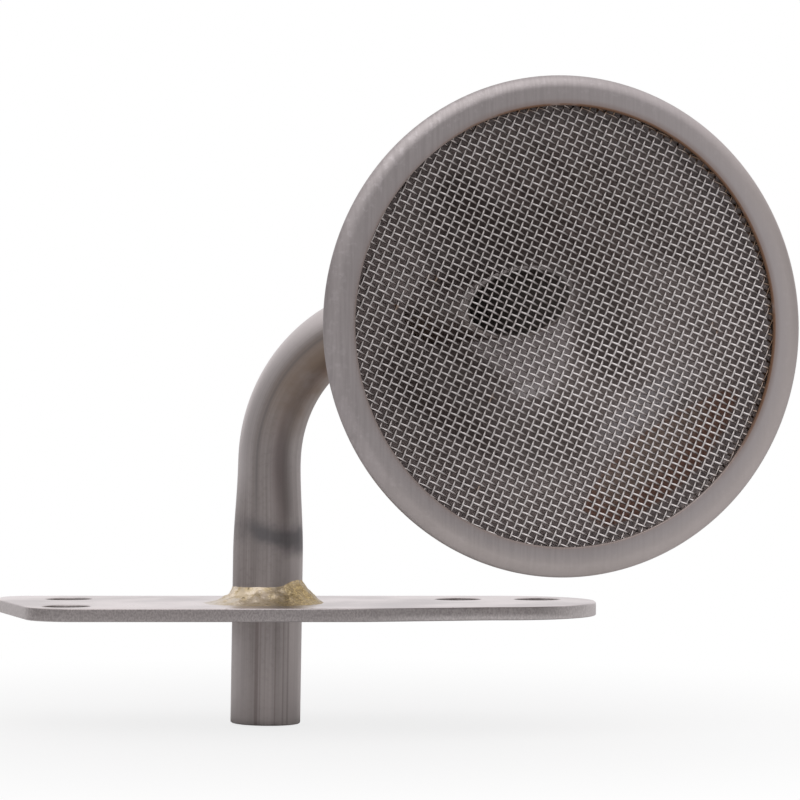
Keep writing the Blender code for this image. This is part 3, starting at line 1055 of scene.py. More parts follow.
class Finish(NodeMaker):
    """Builds the nodes of one finish round its Principled shader."""

    def __init__(self, name, metallic=1.0, edge=0.75):
        self.material = bpy.data.materials.new(name)
        self.material.use_nodes = True
        super().__init__(self.material.node_tree)
        self.shader = self.tree.nodes["Principled BSDF"]
        self.give("Metallic", metallic)
        self.give("Specular Tint", (edge, edge, edge))

    def give(self, name, value):
        self.put(self.shader.inputs[name], value)

    def bump(self, height, distance):
        inputs = {"Strength": 1.0, "Distance": distance, "Height": height}
        self.give("Normal", self.add("ShaderNodeBump", inputs).outputs["Normal"])

    def kept(self, name, output="Vector"):
        """The mesh's own attribute of this name."""
        return self.add("ShaderNodeAttribute", attribute_name=name).outputs[output]

    def normal(self):
        return self.add("ShaderNodeNewGeometry").outputs["Normal"]

    def moved(self, vector, location=(0, 0, 0), rotation=(0, 0, 0), scale=(1, 1, 1)):
        """The vector as seen from a frame that is scaled, turned and moved by these."""
        inputs = {"Vector": vector, "Location": location, "Rotation": rotation, "Scale": scale}
        return self.add("ShaderNodeMapping", inputs, vector_type="TEXTURE").outputs["Vector"]

    def stretched(self, vector, scale):
        inputs = {"Vector": vector, "Scale": scale}
        return self.add("ShaderNodeMapping", inputs, vector_type="POINT").outputs["Vector"]

    def noise(self, vector, scale=1.0, detail=3.0, roughness=0.5):
        inputs = {"Vector": vector, "Scale": scale, "Detail": detail, "Roughness": roughness}
        return self.add("ShaderNodeTexNoise", inputs).outputs["Fac"]

    def mix(self, share, first, second):
        """The first colour with the second laid over it by its share."""
        node = self.add("ShaderNodeMix", {"Factor": share}, data_type="RGBA")
        under, over = [socket for socket in node.inputs if socket.type == "RGBA"]
        self.put(under, first)
        self.put(over, second)
        return next(socket for socket in node.outputs if socket.type == "RGBA")

    def layers(self, colour, *coats):
        """The colour with each (share, colour) coat laid over it in turn."""
        for share, coat in coats:
            colour = self.mix(share, colour, coat)
        return colour

    def oval(self, flat, shape, edge=1.0, middle=0.25):
        """1 in the middle of a soft oval, falling to 0 at its edge."""
        (across, up), (width, height), degrees = shape
        turn = (0, 0, math.radians(degrees))
        own = self.moved(flat, (across, up, 0), turn, (width, height, 1))
        return self.span(self.vector("LENGTH", own), edge, middle)

    def left_of(self, flat, start, end, soft):
        """1 to the left of the line from start to end, 0 to its right."""
        run = (Vector(end) - Vector(start)).normalized()
        away = Vector((-run.y, run.x, 0))
        offset = away.x * start[0] + away.y * start[1]
        return self.span(self.vector("DOT_PRODUCT", flat, away), offset - soft, offset + soft)


class BellPlace:
    """A point's place in the bell's own axes, for the finishes of the bell and the screen."""

    def __init__(self, finish, middle, turn):
        self.local = finish.moved(finish.place(), middle, (QUARTER, 0, turn))
        self.across, self.up, self.out = finish.parts(self.local)
        self.flat = finish.stretched(self.local, (1, 1, 0))
        self.reach = finish.vector("LENGTH", self.flat)


# The tube's finish

STUB_STEEL = (0.56, 0.512, 0.5)
LIT_OUTER_SIDE = (0.60, 0.565, 0.56)
CLEAR_STEEL = (0.42, 0.375, 0.365)
LIT_INNER_SIDE = (0.62, 0.58, 0.565)
DIE_LINE = (0.19, 0.156, 0.15)
TUBE_IN_BELL_SHADE = (0.38, 0.34, 0.33)
REACH_INTO_BELL = 0.020
# Each die line's heading in degrees, half width in tube radii and strength
DIE_LINES = ((-104, 0.075, 0.6), (-98, 0.03, 0.3), (-73, 0.03, 0.3), (-59, 0.035, 0.35), (-50, 0.04, 0.35))


def drawn_steel(tube, route):
    """Lengthwise streaks and die lines, an oily bend, a heat mark, painted light and shade, and a bore
    painted dark as shade.
    """
    finish = Finish("drawn_tube_steel", edge=1.0)
    span, times = finish.span, finish.times
    around = finish.kept("tube_skin")
    place = finish.place()
    inner, _sideways, along = finish.parts(around)
    section = finish.stretched(around, (1, 1, 0))
    broad = finish.noise(finish.stretched(around, (3.4, 3.4, 0.04)), detail=5.0, roughness=0.65)
    fine = finish.noise(finish.stretched(around, (22, 22, 0.10)), roughness=0.6)
    cloud = finish.noise(place, 90.0, detail=4.0, roughness=0.55)
    dust = finish.noise(place, 900.0, detail=2.0, roughness=0.6)

    def strip(degrees, outer, narrow, to_low=0.0, to_high=1.0):
        """A lengthwise strip at this heading, between two distances in tube radii."""
        turn = math.radians(degrees) - tube.heading
        away = finish.vector("DISTANCE", section, (math.cos(turn), math.sin(turn), 0))
        return span(away, outer, narrow, to_low, to_high)

    # Painted light: the outer, left side lighter up towards the bend and on the stub
    lit_outer_side = times(
        span(inner, 0.1, -0.6),
        finish.plus(span(along, 2.8, 4.4, 0.0, 0.8), span(along, 0.0, -1.0, 0.0, 0.5)),
    )
    band = times(strip(-103, 0.32, 0.06), span(along, 0.6, 1.6, 0.2, 0.35))
    near_bend = span(along, 2.4, 3.2, 0.0, 0.65)
    # Painted light: the inner, right side lighter, most of all low on the tube
    lit_inner_side = times(span(inner, 0.6, 1.0), span(along, 2.2, 1.4, 0.25, 0.6))
    film = times(span(along, 4.6, 7.0), span(inner, -0.35, 0.6), span(cloud, 0.3, 0.6, 0.45, 1.0))
    scratch = times(strip(-108, 0.06, 0.02), span(along, 2.4, 4.0, 0.0, 0.25))
    below_plate = span(along, 0.4, 0.0)
    die_lines = [
        (times(strip(degrees, width, width * 0.4, 0.0, strength), below_plate), DIE_LINE)
        for degrees, width, strength in DIE_LINES
    ]
    wander = finish.scaled(finish.noise(place, 160.0), 0.9, along)
    heat = times(
        span(finish.scaled(inner, 0.26, wander), 2.32, 2.82),
        span(finish.scaled(inner, 0.2, wander), 3.5, 2.95),
        strip(-54, 1.5, 0.7, 0.25, 0.7),
    )
    in_bell = (route.length - REACH_INTO_BELL) / tube.diameter * 2
    # Painted shade: the bore near black
    bore = span(finish.vector("LENGTH", section), 0.75, 0.55)
    colour = finish.layers(
        tube.steel,
        (span(broad, 0.42, 0.66, 0.0, 0.45), tube.shade),
        (span(fine, 0.5, 0.72, 0.0, 0.42), tube.shade),
        (span(dust, 0.45, 0.75, 0.0, 0.25), tube.shade),
        (span(along, -0.4, -2.8, 0.05, 0.4), STUB_STEEL),
        (lit_outer_side, LIT_OUTER_SIDE),
        (band, tube.shade),
        (times(strip(-69, 0.32, 0.1), near_bend), CLEAR_STEEL),
        # Painted shade down the right side, near the bend
        (times(strip(-50, 0.3, 0.05), near_bend), tube.shade),
        (lit_inner_side, LIT_INNER_SIDE),
        (film, tube.warm),
        (scratch, tube.scorch),
        *die_lines,
        (heat, tube.scorch),
        # Painted shade: the tube darker where it runs inside the bell
        (span(along, in_bell, in_bell + 0.6, 0.0, 0.75), TUBE_IN_BELL_SHADE),
        (bore, tube.bore),
    )
    finish.give("Base Color", colour)
    finish.give("Metallic", finish.scaled(bore, -0.8, 1.0))
    rough = finish.scaled(bore, 0.3, finish.scaled(broad, 0.16, 0.30))
    finish.give("Roughness", finish.scaled(heat, 0.12, rough))
    grain = finish.scaled(fine, 0.7, times(scratch, -0.8))
    finish.bump(finish.scaled(cloud, 0.5, grain), 0.00005)
    return finish.material


# The plate's finish

SHEAR_SHADOW = (0.25, 0.228, 0.226)
DULL_EDGE = (0.4, 0.38, 0.375)
EDGE_HIGHLIGHT = (0.84, 0.80, 0.79)
CLOUDED_FACE = (0.46, 0.43, 0.43)
ROLLING_MARK = (0.34, 0.31, 0.31)
PLATE_SPECK = (0.2, 0.17, 0.15)


def rolled_steel(plate):
    """A dull rolled face with faint scuffs, over grainy sheared edges with painted highlights at the ends
    and bottom.
    """
    finish = Finish("rolled_plate_steel", edge=1.0)
    span = finish.span
    place = finish.place()
    along, _back, up = finish.parts(place)
    rolled = finish.noise(finish.stretched(place, (30, 260, 30)), detail=4.0, roughness=0.6)
    sheared = finish.noise(finish.stretched(place, (2600, 2600, 1700)), detail=4.0, roughness=0.65)
    cloud = finish.noise(place, 45.0, detail=4.0, roughness=0.55)
    specks = finish.noise(place, 700.0, detail=2.0)
    _x, _y, facing = finish.parts(finish.normal())
    flat = span(finish.math("ABSOLUTE", facing), 0.2, 0.7)
    # Painted highlights on the cut edge: at both ends, and lighter towards the bottom
    right_end = span(along, 0.0600, 0.0730, 0.0, 0.95)
    left_end = span(along, -0.0500, -0.0550, 0.0, 0.65)
    low = finish.times(span(up, 0.0018, 0.0004), span(along, 0.012, 0.048, 0.15, 0.8))
    edge_highlight = finish.times(finish.highest(right_end, left_end, low), span(sheared, 0.3, 0.6, 1.0, 0.7))
    cut = finish.layers(
        plate.cut_steel,
        (span(sheared, 0.38, 0.62, 0.0, 0.7), SHEAR_SHADOW),
        (span(cloud, 0.4, 0.75, 0.0, 0.4), DULL_EDGE),
        (edge_highlight, EDGE_HIGHLIGHT),
    )
    face = finish.layers(
        plate.steel,
        (span(cloud, 0.35, 0.7), CLOUDED_FACE),
        (span(rolled, 0.5, 0.8, 0.0, 0.3), ROLLING_MARK),
        (span(specks, 0.66, 0.74, 0.0, 0.4), PLATE_SPECK),
    )
    finish.give("Base Color", finish.mix(flat, cut, face))
    finish.give("Roughness", finish.scaled(cloud, 0.1, finish.scaled(flat, -0.1, 0.34)))
    finish.bump(finish.scaled(sheared, 0.4, finish.times(cloud, 0.6)), 0.00004)
    return finish.material


# The bell's finish

# Colours of the rim
CLOUDED_RIM = (0.40, 0.37, 0.368)
BRUSH_MARK = (0.33, 0.305, 0.305)
LIT_RIGHT_RIM = (0.585, 0.546, 0.546)
RIM_CREST_HIGHLIGHT = (0.62, 0.57, 0.575)
RIM_SCUFF_AND_HIGHLIGHT = (0.74, 0.70, 0.715)
WARM_RIM_HIGHLIGHT = (0.66, 0.60, 0.565)
FLANGE = (0.24, 0.205, 0.195)
RUST_BLUSH = (0.30, 0.225, 0.195)

# Colours inside the dome, most of them painted light and shade
BROWN_FILM_AND_SHADE = (0.15, 0.11, 0.095)
DARK_SHADE = (0.10, 0.082, 0.078)
DIM_SHADE = (0.13, 0.108, 0.10)
DARK_SWEEPS = (0.11, 0.085, 0.078)
NECK_LIGHT_RING = (0.44, 0.40, 0.40)
PAINTED_SHEEN = (0.58, 0.555, 0.575)
PATCH_TOE_HIGHLIGHT = (0.80, 0.76, 0.77)
PUDDLE_FILL = (0.41, 0.315, 0.265)

# Soft ovals inside the dome: place across and up, half sizes, and turn in degrees
# Painted shade: the two shaded zones at the left, the brown band where it is darker, and the dim zones
UPPER_LEFT_SHADE = ((-0.0125, 0.0215), (0.026, 0.016), -31)
LOWER_LEFT_SHADE = ((-0.0200, -0.0150), (0.032, 0.018), -38)
BROWN_BAND = ((0.0110, 0.0250), (0.044, 0.016), -31)
DIM_RIGHT = ((0.0192, -0.0010), (0.012, 0.023), 15)
DIM_LOW = ((0.0070, -0.0250), (0.016, 0.012), 0)
# Painted light: the highlight streak, the lit zones, the sheen, and the reflection patch with its toe
LIGHT_STREAK = ((0.0290, -0.0160), (0.024, 0.012), 40)
LIGHT_RIGHT = ((0.0380, 0.0120), (0.018, 0.036), 15)
LIGHT_LOW = ((0.0040, -0.0400), (0.034, 0.012), 0)
SHEEN = ((0.0255, -0.0178), (0.020, 0.0050), 40)
PATCH = ((-0.0065, -0.0020), (0.0170, 0.0190), 0)
PATCH_TOE = ((0.0000, -0.0140), (0.0060, 0.0022), 8)
PATCH_SIDE = ((-0.0151, -0.0026), (0.0036, -0.0183))
SWEEP_TURN = math.radians(-31)
SWEEP_SIZE = (0.06, 0.005, 0.02)

# The dried puddle: its turn, the middle and half of its length, its flat side and the arch of that
PUDDLE_TURN = math.radians(37.9)
PUDDLE_MIDDLE = 0.0036
PUDDLE_HALF_LENGTH = 0.0215
PUDDLE_SIDE = 0.0340
PUDDLE_ARCH = 0.0023


def rim_colour(finish, bell, at, cloud, brushed, patchy):
    """Brushed steel, with painted light to the right and painted highlights along the crest, at the lower
    right edge and in light scuffs at the upper left.
    """
    span, times = finish.span, finish.times
    leaning = finish.math("SUBTRACT", at.up, at.across)
    scuffs = finish.noise(at.local, 620.0, detail=5.0, roughness=0.7)
    # Painted highlight along the crest of the rolled shoulder, fading out at the upper left
    crest = times(
        span(at.reach, 0.0512, 0.0524), span(patchy, 0.35, 0.6, 0.0, 0.3), span(leaning, 0.075, 0.0)
    )
    # Light scuffs at the upper left of the shoulder, also painted as its blotchy highlight
    scuffs_and_highlight = times(
        span(scuffs, 0.5, 0.66, 0.0, 0.3),
        span(at.reach, 0.0500, 0.0515),
        span(leaning, 0.05, 0.09, 0.5, 1.0),
    )
    # Painted warm highlight along the outer edge, at the bottom and the right
    warm_edge_highlight = times(span(at.reach, 0.0490, 0.0532), span(leaning, 0.035, -0.03, 0.0, 0.55))
    return finish.layers(
        bell.steel,
        (span(cloud, 0.38, 0.68, 0.0, 0.7), CLOUDED_RIM),
        (span(brushed, 0.36, 0.68, 0.0, 0.45), BRUSH_MARK),
        # Painted light: the rim lighter to the right
        (span(at.across, -0.030, 0.060, 0.0, 0.72), LIT_RIGHT_RIM),
        (crest, RIM_CREST_HIGHLIGHT),
        (scuffs_and_highlight, RIM_SCUFF_AND_HIGHLIGHT),
        (warm_edge_highlight, WARM_RIM_HIGHLIGHT),
    )


def dome_colour(finish, bell, at):
    """Dull inside with a brown film and swept dark streaks, painted shade, painted light and a painted
    reflection under the mouth.
    """
    span, times, highest = finish.span, finish.times, finish.highest

    def oval(shape):
        return finish.oval(at.flat, shape)

    # Painted shade in two zones at the left, beside the tube
    shade = highest(oval(UPPER_LEFT_SHADE), oval(LOWER_LEFT_SHADE))
    # A brown film across the top, darker there as painted shade
    brown = oval(BROWN_BAND)
    # Painted shade in dim zones at the right and low down
    dim_shade = highest(oval(DIM_RIGHT), times(oval(DIM_LOW), 0.8))
    # Painted light: a highlight streak low at the right, and lit zones at the right and below
    light = highest(oval(LIGHT_STREAK), oval(LIGHT_RIGHT), times(oval(LIGHT_LOW), 0.8))
    # Darker streaks swept across the dome, strongest in the shaded zones
    sweeps = finish.moved(at.local, rotation=(0, 0, SWEEP_TURN), scale=SWEEP_SIZE)
    sweeps = finish.noise(sweeps, detail=4.0, roughness=0.6)
    swept = times(span(sweeps, 0.45, 0.57), finish.scaled(highest(shade, brown), 0.5, 0.3))
    # Painted reflection: a light patch under the mouth, cut off along a line at its left
    patch = times(
        finish.left_of(at.flat, *PATCH_SIDE, 0.0014),
        finish.oval(at.flat, PATCH, 1.04, 0.94),
        span(at.up, 0.0060, 0.0030),
        span(at.up, -0.0162, -0.0142),
    )
    return finish.layers(
        bell.dull,
        (times(brown, 0.6), BROWN_FILM_AND_SHADE),
        (times(shade, 0.75), DARK_SHADE),
        (times(dim_shade, 0.8), DIM_SHADE),
        (times(light, 0.7), bell.painted_light_inside),
        (swept, DARK_SWEEPS),
        # Painted light: lighter rings round the dome near its neck
        (span(at.reach, 0.038, 0.045, 0.0, 0.6), bell.painted_light_inside),
        (span(at.reach, 0.0445, 0.0465, 0.0, 0.8), NECK_LIGHT_RING),
        # Painted sheen, then the painted reflection patch and the painted highlight at its toe
        (times(oval(SHEEN), 0.75), PAINTED_SHEEN),
        (patch, bell.crown),
        (times(oval(PATCH_TOE), 0.8), PATCH_TOE_HIGHLIGHT),
    )


def dried_puddle(finish, at, patchy):
    """The puddle low at the right, under the flange, and the share of its dark border."""
    span = finish.span
    wavy = finish.scaled(patchy, 0.0024, -0.0012)
    own = finish.moved(at.flat, rotation=(0, 0, PUDDLE_TURN))
    along, across, _out = finish.parts(own)
    share = finish.math("DIVIDE", finish.plus(along, -PUDDLE_MIDDLE), PUDDLE_HALF_LENGTH)
    arch = finish.times(share, share, PUDDLE_ARCH)
    below_side = finish.math("SUBTRACT", finish.scaled(across, -1.0, -PUDDLE_SIDE), arch)
    past_side = finish.plus(below_side, wavy)
    far = finish.plus(finish.math("ABSOLUTE", share), finish.times(wavy, 40.0))
    outer = finish.plus(at.reach, finish.times(wavy, 0.4))
    pool = finish.times(span(past_side, 0.0, 0.0007), span(far, 1.04, 0.95), span(outer, 0.0461, 0.0453))
    border = finish.highest(
        span(past_side, 0.0016, 0.0006, 0.0, 0.6), span(far, 0.55, 0.9), span(outer, 0.0405, 0.0435)
    )
    return pool, border


def pressed_steel(bell, middle):
    """Pressed sheet with a brushed rim, rust at its lip and a dried puddle in the dome."""
    finish = Finish("pressed_bell_steel")
    span, times = finish.span, finish.times
    at = BellPlace(finish, middle, bell.turn)
    cloud = finish.noise(at.local, 38.0, detail=4.0, roughness=0.55)
    fine = finish.noise(at.local, 260.0, roughness=0.6)
    brushed = finish.noise(finish.stretched(at.local, (1700, 70, 70)), roughness=0.6)
    patchy = finish.noise(at.local, 120.0, detail=4.0, roughness=0.65)
    _across, face = bell_ways(bell.turn)
    faces_out = span(finish.vector("DOT_PRODUCT", finish.normal(), face), -0.02, 0.02)
    behind = span(at.out, -0.0016, -0.0026)
    inside = times(behind, span(at.reach, 0.0480, 0.0476), faces_out)
    flange = times(
        behind,
        span(at.out, -0.0036, -0.0032),
        span(at.reach, 0.0510, 0.0500),
        span(at.reach, 0.0474, 0.0478),
    )
    in_front = span(at.out, -0.0022, -0.0014)
    rusty = finish.highest(span(finish.scaled(at.up, 0.9, at.across), -0.015, 0.035), 0.3)
    blush = times(span(at.reach, 0.0499, 0.0485), in_front, rusty, 0.6)
    rust = times(span(at.reach, 0.0487, 0.0483), in_front, rusty, span(patchy, 0.3, 0.5, 0.3, 1.0))
    pool, border = dried_puddle(finish, at, patchy)
    pool = times(inside, pool)
    stained = times(pool, border)
    colour = finish.layers(
        rim_colour(finish, bell, at, cloud, brushed, patchy),
        (inside, dome_colour(finish, bell, at)),
        (flange, FLANGE),
        (blush, RUST_BLUSH),
        (rust, bell.rust),
        (times(pool, 0.9), PUDDLE_FILL),
        (times(stained, 0.85), bell.stain),
    )
    finish.give("Base Color", colour)
    dry = finish.highest(rust, stained)
    rough = finish.scaled(inside, 0.2, finish.scaled(cloud, 0.14, 0.34))
    finish.give("Roughness", finish.scaled(dry, 0.2, rough))
    finish.give("Metallic", finish.scaled(finish.highest(dry, inside), -0.6, 1.0))
    height = finish.scaled(fine, 0.5, times(brushed, 0.4))
    finish.bump(finish.scaled(cloud, 2.5, height), 0.00005)
    return finish.material


# The screen's finish

DULL_WIRE = (0.46, 0.44, 0.43)
# Painted light: wire lit towards the lower right, and a painted glint in a soft oval
LIT_WIRE = (0.84, 0.81, 0.80)
GLINT_WIRE = (0.92, 0.89, 0.88)
GLINT = ((0.007, -0.012), (0.026, 0.019), 0)


def wire_steel(cloth, middle, turn):
    """Bright wire with painted shade in the lee of each crossing, painted light and a glint, browned under
    the rim.
    """
    finish = Finish("screen_wire_steel")
    span = finish.span
    at = BellPlace(finish, middle, turn)
    cloud = finish.noise(at.local, 110.0, roughness=0.6)
    fleck = finish.noise(at.local, 900.0, detail=2.0, roughness=0.6)
    specks = finish.noise(at.local, 160.0, detail=2.0)
    low_right = finish.math("SUBTRACT", at.across, at.up)
    brown = finish.times(
        span(at.reach, 0.0466, 0.0480),
        span(finish.plus(at.up, at.across), -0.02, 0.045, 0.15, 1.0),
        span(cloud, 0.35, 0.6, 0.4, 1.0),
    )
    colour = finish.layers(
        cloth.steel,
        (span(fleck, 0.35, 0.7), DULL_WIRE),
        # Painted light towards the lower right, and a painted glint
        (span(low_right, -0.025, 0.045, 0.0, 0.85), LIT_WIRE),
        (finish.times(finish.oval(at.flat, GLINT), 0.6), GLINT_WIRE),
        # Painted shade in the lee of each crossing
        (span(finish.kept("lee", "Fac"), 0.45, 0.95, 0.0, 0.7), cloth.crossing_shade),
        (finish.highest(brown, span(specks, 0.72, 0.78, 0.0, 0.8)), cloth.tarnish),
    )
    finish.give("Base Color", colour)
    finish.give("Roughness", finish.scaled(fleck, 0.2, 0.2))
    return finish.material


# The brazing's finish

DEEP_GOLD = (0.56, 0.45, 0.27)
YELLOW_GOLD = (0.60, 0.48, 0.26)
SHADED_LOW_GOLD = (0.52, 0.42, 0.26)
BURNT_GRAIN = (0.57, 0.44, 0.20)
PIT = (0.12, 0.09, 0.06)


def brazing_metal(name, braze, far_left, far_right):
    """Gold metal with a pale flux film at its thin left, burnt olive at its right and painted shade low
    down.
    """
    finish = Finish(name, metallic=0.75)
    span = finish.span
    place = finish.place()
    across, _back, up = finish.parts(place)
    lumps = finish.noise(place, 260.0, detail=4.0, roughness=0.6)
    blotches = finish.noise(place, 170.0, roughness=0.55)
    yellow = finish.noise(place, 620.0, roughness=0.6)
    pits = finish.noise(place, 620.0, detail=2.0)
    grains = finish.noise(place, 1900.0, roughness=0.7)
    grit = finish.noise(place, 1500.0, detail=2.0, roughness=0.6)
    shifted = finish.scaled(blotches, 0.010, across)
    film = finish.highest(
        span(shifted, far_left + 0.012, far_left + 0.003), span(blotches, 0.55, 0.7, 0.0, 0.7)
    )
    burnt = finish.mix(span(grains, 0.42, 0.62), braze.olive, BURNT_GRAIN)
    colour = finish.layers(
        braze.gold,
        (span(lumps, 0.4, 0.62, 0.0, 0.6), DEEP_GOLD),
        (span(yellow, 0.46, 0.62, 0.0, 0.6), YELLOW_GOLD),
        # Painted shade: darker gold low on the fillet, under its lit top
        (span(up, 0.0050, 0.0036, 0.0, 0.25), SHADED_LOW_GOLD),
        (film, braze.pale),
        (span(shifted, far_right - 0.004, far_right + 0.004, 0.0, 0.95), burnt),
        (span(pits, 0.66, 0.74, 0.0, 0.7), PIT),
    )
    finish.give("Base Color", colour)
    finish.give("Roughness", finish.scaled(lumps, 0.35, 0.16))
    finish.bump(finish.scaled(grit, 0.6, lumps), 0.00020)
    return finish.material


# The floor's finish

SHADE_START = 0.04
SHADE_END = 0.22
SHADE_WHITE = 0.8


def floor_finish(colour):
    """A dull floor, nearly white to the camera, with the object's shadow left on it."""
    finish = Finish("studio_floor", metallic=0.0, edge=1.0)
    finish.give("Base Color", colour)
    finish.give("Roughness", 0.9)
    white = finish.add("ShaderNodeEmission", {"Strength": 1.0}).outputs[0]
    away = finish.vector("LENGTH", finish.place())
    share = finish.times(finish.camera_sees(), finish.span(away, SHADE_START, SHADE_END, SHADE_WHITE, 1.0))
    surface = finish.tree.nodes["Material Output"].inputs["Surface"]
    finish.put(surface, finish.blend(share, finish.shader.outputs[0], white))
    return finish.material


# Woven wire

POINTS_A_CROSSING = 4
WIRE_SIDES = 6
CLOTH_HALF_WIDTH = 0.048
WEAVE_INPUTS = {
    "Count": "NodeSocketInt",
    "Pitch": "NodeSocketFloat",
    "Cross Count": "NodeSocketInt",
    "Cross Pitch": "NodeSocketFloat",
    "Wire": "NodeSocketFloat",
    "Disc Radius": "NodeSocketFloat",
    "Crimp": "NodeSocketFloat",
    "Lee": "NodeSocketFloat",
    "Along": "NodeSocketVector",
    "Across": "NodeSocketVector",
    "Drift": "NodeSocketFloat",
    "Turn": "NodeSocketFloat",
    "Finish": "NodeSocketMaterial",
}


def straight_wires(nodes, given):
    """Parallel wires across the disc, with even points between their crossings."""
    crossings = nodes.math("CEIL", nodes.math("DIVIDE", given["Disc Radius"], given["Cross Pitch"]))
    half_run = nodes.times(crossings, given["Cross Pitch"])
    line = nodes.add(
        "GeometryNodeCurvePrimitiveLine",
        {
            "Start": nodes.longer(given["Along"], nodes.times(half_run, -1)),
            "End": nodes.longer(given["Along"], half_run),
        },
    ).outputs["Curve"]
    count = nodes.scaled(crossings, 2 * POINTS_A_CROSSING, 1)
    wire = nodes.add("GeometryNodeResampleCurve", {"Curve": line, "Count": count}).outputs["Curve"]
    first = nodes.times(nodes.plus(given["Count"], -1), 0.5, given["Pitch"], -1)
    places = nodes.add(
        "GeometryNodeMeshLine",
        {
            "Count": given["Count"],
            "Start Location": nodes.longer(given["Across"], first),
            "Offset": nodes.longer(given["Across"], given["Pitch"]),
        },
    ).outputs["Mesh"]
    copies = nodes.add("GeometryNodeInstanceOnPoints", {"Points": places, "Instance": wire})
    wires = nodes.add("GeometryNodeRealizeInstances", {"Geometry": copies.outputs["Instances"]})
    return wires.outputs["Geometry"]


def crimped_wires(nodes, given, wires, position):
    """The wires bent over and under each crossing, with the lee of each one marked for the painted shade."""

    def index(way, pitch, count):
        place = nodes.math("DIVIDE", nodes.vector("DOT_PRODUCT", position, given[way]), given[pitch])
        return nodes.plus(place, nodes.times(nodes.plus(given[count], -1), 0.5))

    def wave(number, shift=0.0):
        return nodes.math("COSINE", nodes.scaled(number, math.pi, shift))

    side = wave(index("Across", "Pitch", "Count"))
    crossing = index("Along", "Cross Pitch", "Cross Count")
    lee = nodes.scaled(nodes.times(side, wave(crossing, given["Lee"])), -0.5, 0.5)
    marked = nodes.add(
        "GeometryNodeStoreNamedAttribute", {"Geometry": wires, "Name": "lee", "Value": lee}
    ).outputs["Geometry"]
    crimp = nodes.times(side, wave(crossing), given["Crimp"])
    lift = nodes.joined("Z", crimp)
    return nodes.add("GeometryNodeSetPosition", {"Geometry": marked, "Offset": lift}).outputs["Geometry"]


def trimmed_wires(nodes, given, wires, position):
    """The wires turned in the screen, drawn up at its left and cut to the disc."""
    turned = nodes.add(
        "GeometryNodeTransform", {"Geometry": wires, "Rotation": nodes.joined("Z", given["Turn"])}
    ).outputs["Geometry"]
    across, _up, _out = nodes.parts(position)
    left = nodes.highest(nodes.times(across, -1 / CLOTH_HALF_WIDTH), 0.0)
    pull = nodes.joined("Y", nodes.times(left, left, given["Drift"]))
    drawn = nodes.add("GeometryNodeSetPosition", {"Geometry": turned, "Offset": pull})
    reach = nodes.vector("LENGTH", nodes.vector("MULTIPLY", position, (1, 1, 0)))
    outside = nodes.add(
        "FunctionNodeCompare",
        {0: reach, 1: given["Disc Radius"]},
        data_type="FLOAT",
        operation="GREATER_THAN",
    )
    inputs = {"Geometry": drawn.outputs["Geometry"], "Selection": outside.outputs[0]}
    return nodes.add("GeometryNodeDeleteGeometry", inputs).outputs["Geometry"]


def wire_tree():
    """Round wires of one direction, crimped over and under the others in a disc."""
    tree = bpy.data.node_groups.new("woven_wires", "GeometryNodeTree")
    tree.interface.new_socket("Geometry", in_out="INPUT", socket_type="NodeSocketGeometry")
    for name, kind in WEAVE_INPUTS.items():
        tree.interface.new_socket(name, in_out="INPUT", socket_type=kind)
    tree.interface.new_socket("Geometry", in_out="OUTPUT", socket_type="NodeSocketGeometry")
    nodes = NodeMaker(tree)
    given = nodes.add("NodeGroupInput").outputs
    position = nodes.add("GeometryNodeInputPosition").outputs[0]
    wires = straight_wires(nodes, given)
    wires = crimped_wires(nodes, given, wires, position)
    wires = trimmed_wires(nodes, given, wires, position)
    section = nodes.add(
        "GeometryNodeCurvePrimitiveCircle",
        {"Resolution": WIRE_SIDES, "Radius": nodes.times(given["Wire"], 0.5)},
    ).outputs["Curve"]
    solid = nodes.add(
        "GeometryNodeCurveToMesh", {"Curve": wires, "Profile Curve": section, "Fill Caps": True}
    )
    smooth = nodes.add("GeometryNodeSetShadeSmooth", {"Geometry": solid.outputs["Mesh"]})
    whole = nodes.add("GeometryNodeRealizeInstances", {"Geometry": smooth.outputs["Geometry"]})
    finished = nodes.add(
        "GeometryNodeSetMaterial", {"Geometry": whole.outputs["Geometry"], "Material": given["Finish"]}
    )
    nodes.add("NodeGroupOutput", {0: finished.outputs["Geometry"]})
    return tree


def set_input(modifier, name, value):
    """Sets a modifier's input by its socket's identifier."""
    for item in modifier.node_group.interface.items_tree:
        if item.item_type == "SOCKET" and item.in_out == "INPUT" and item.name == name:
            modifier[item.identifier] = value
            return
    raise KeyError(name)


def weave(name, tree, inputs, place):
    """One direction's wires, made by the tree, moved to their place and dressed."""
    carrier = placed(name + "_carrier", bpy.data.meshes.new(name + "_carrier"))
    modifier = carrier.modifiers.new("weave", "NODES")
    modifier.node_group = tree
    for label, value in inputs.items():
        set_input(modifier, label, value)
    wires = baked(carrier, name)
    wires.data.transform(place)
    dress(wires, "screen_mesh")


# Operators

TUBE_CLEARANCE = 0.00005
BELL_CLEARANCE = 0.00004
CUTTER_OVERRUN = 0.004
CUTTER_STEPS = 8
# Where each brazing's film begins at its left and its burnt part at its right
PLATE_BRAZE_ENDS = (-0.014, 0.009)
BELL_BRAZE_ENDS = (0.02, 0.05)


class PICKUP_OT_suction_tube(bpy.types.Operator):
    """The bent tube, flattened in its bend and cut on the slant inside the bell"""

    bl_idname = "pickup.suction_tube"
    bl_label = "Suction Tube"

    def execute(self, context):
        settings = context.scene.oil_pickup
        route = TubeRoute(settings.tube)
        bm, skins = tube_mesh(route, settings.bell)
        tube = piece_from("drawn_tube", bm, drawn_steel(settings.tube, route))
        kept = tube.data.attributes.new("tube_skin", "FLOAT_VECTOR", "POINT")
        kept.data.foreach_set("vector", np.array(skins, np.float32).ravel())
        dress(tube, "suction_tube")
        return {"FINISHED"}


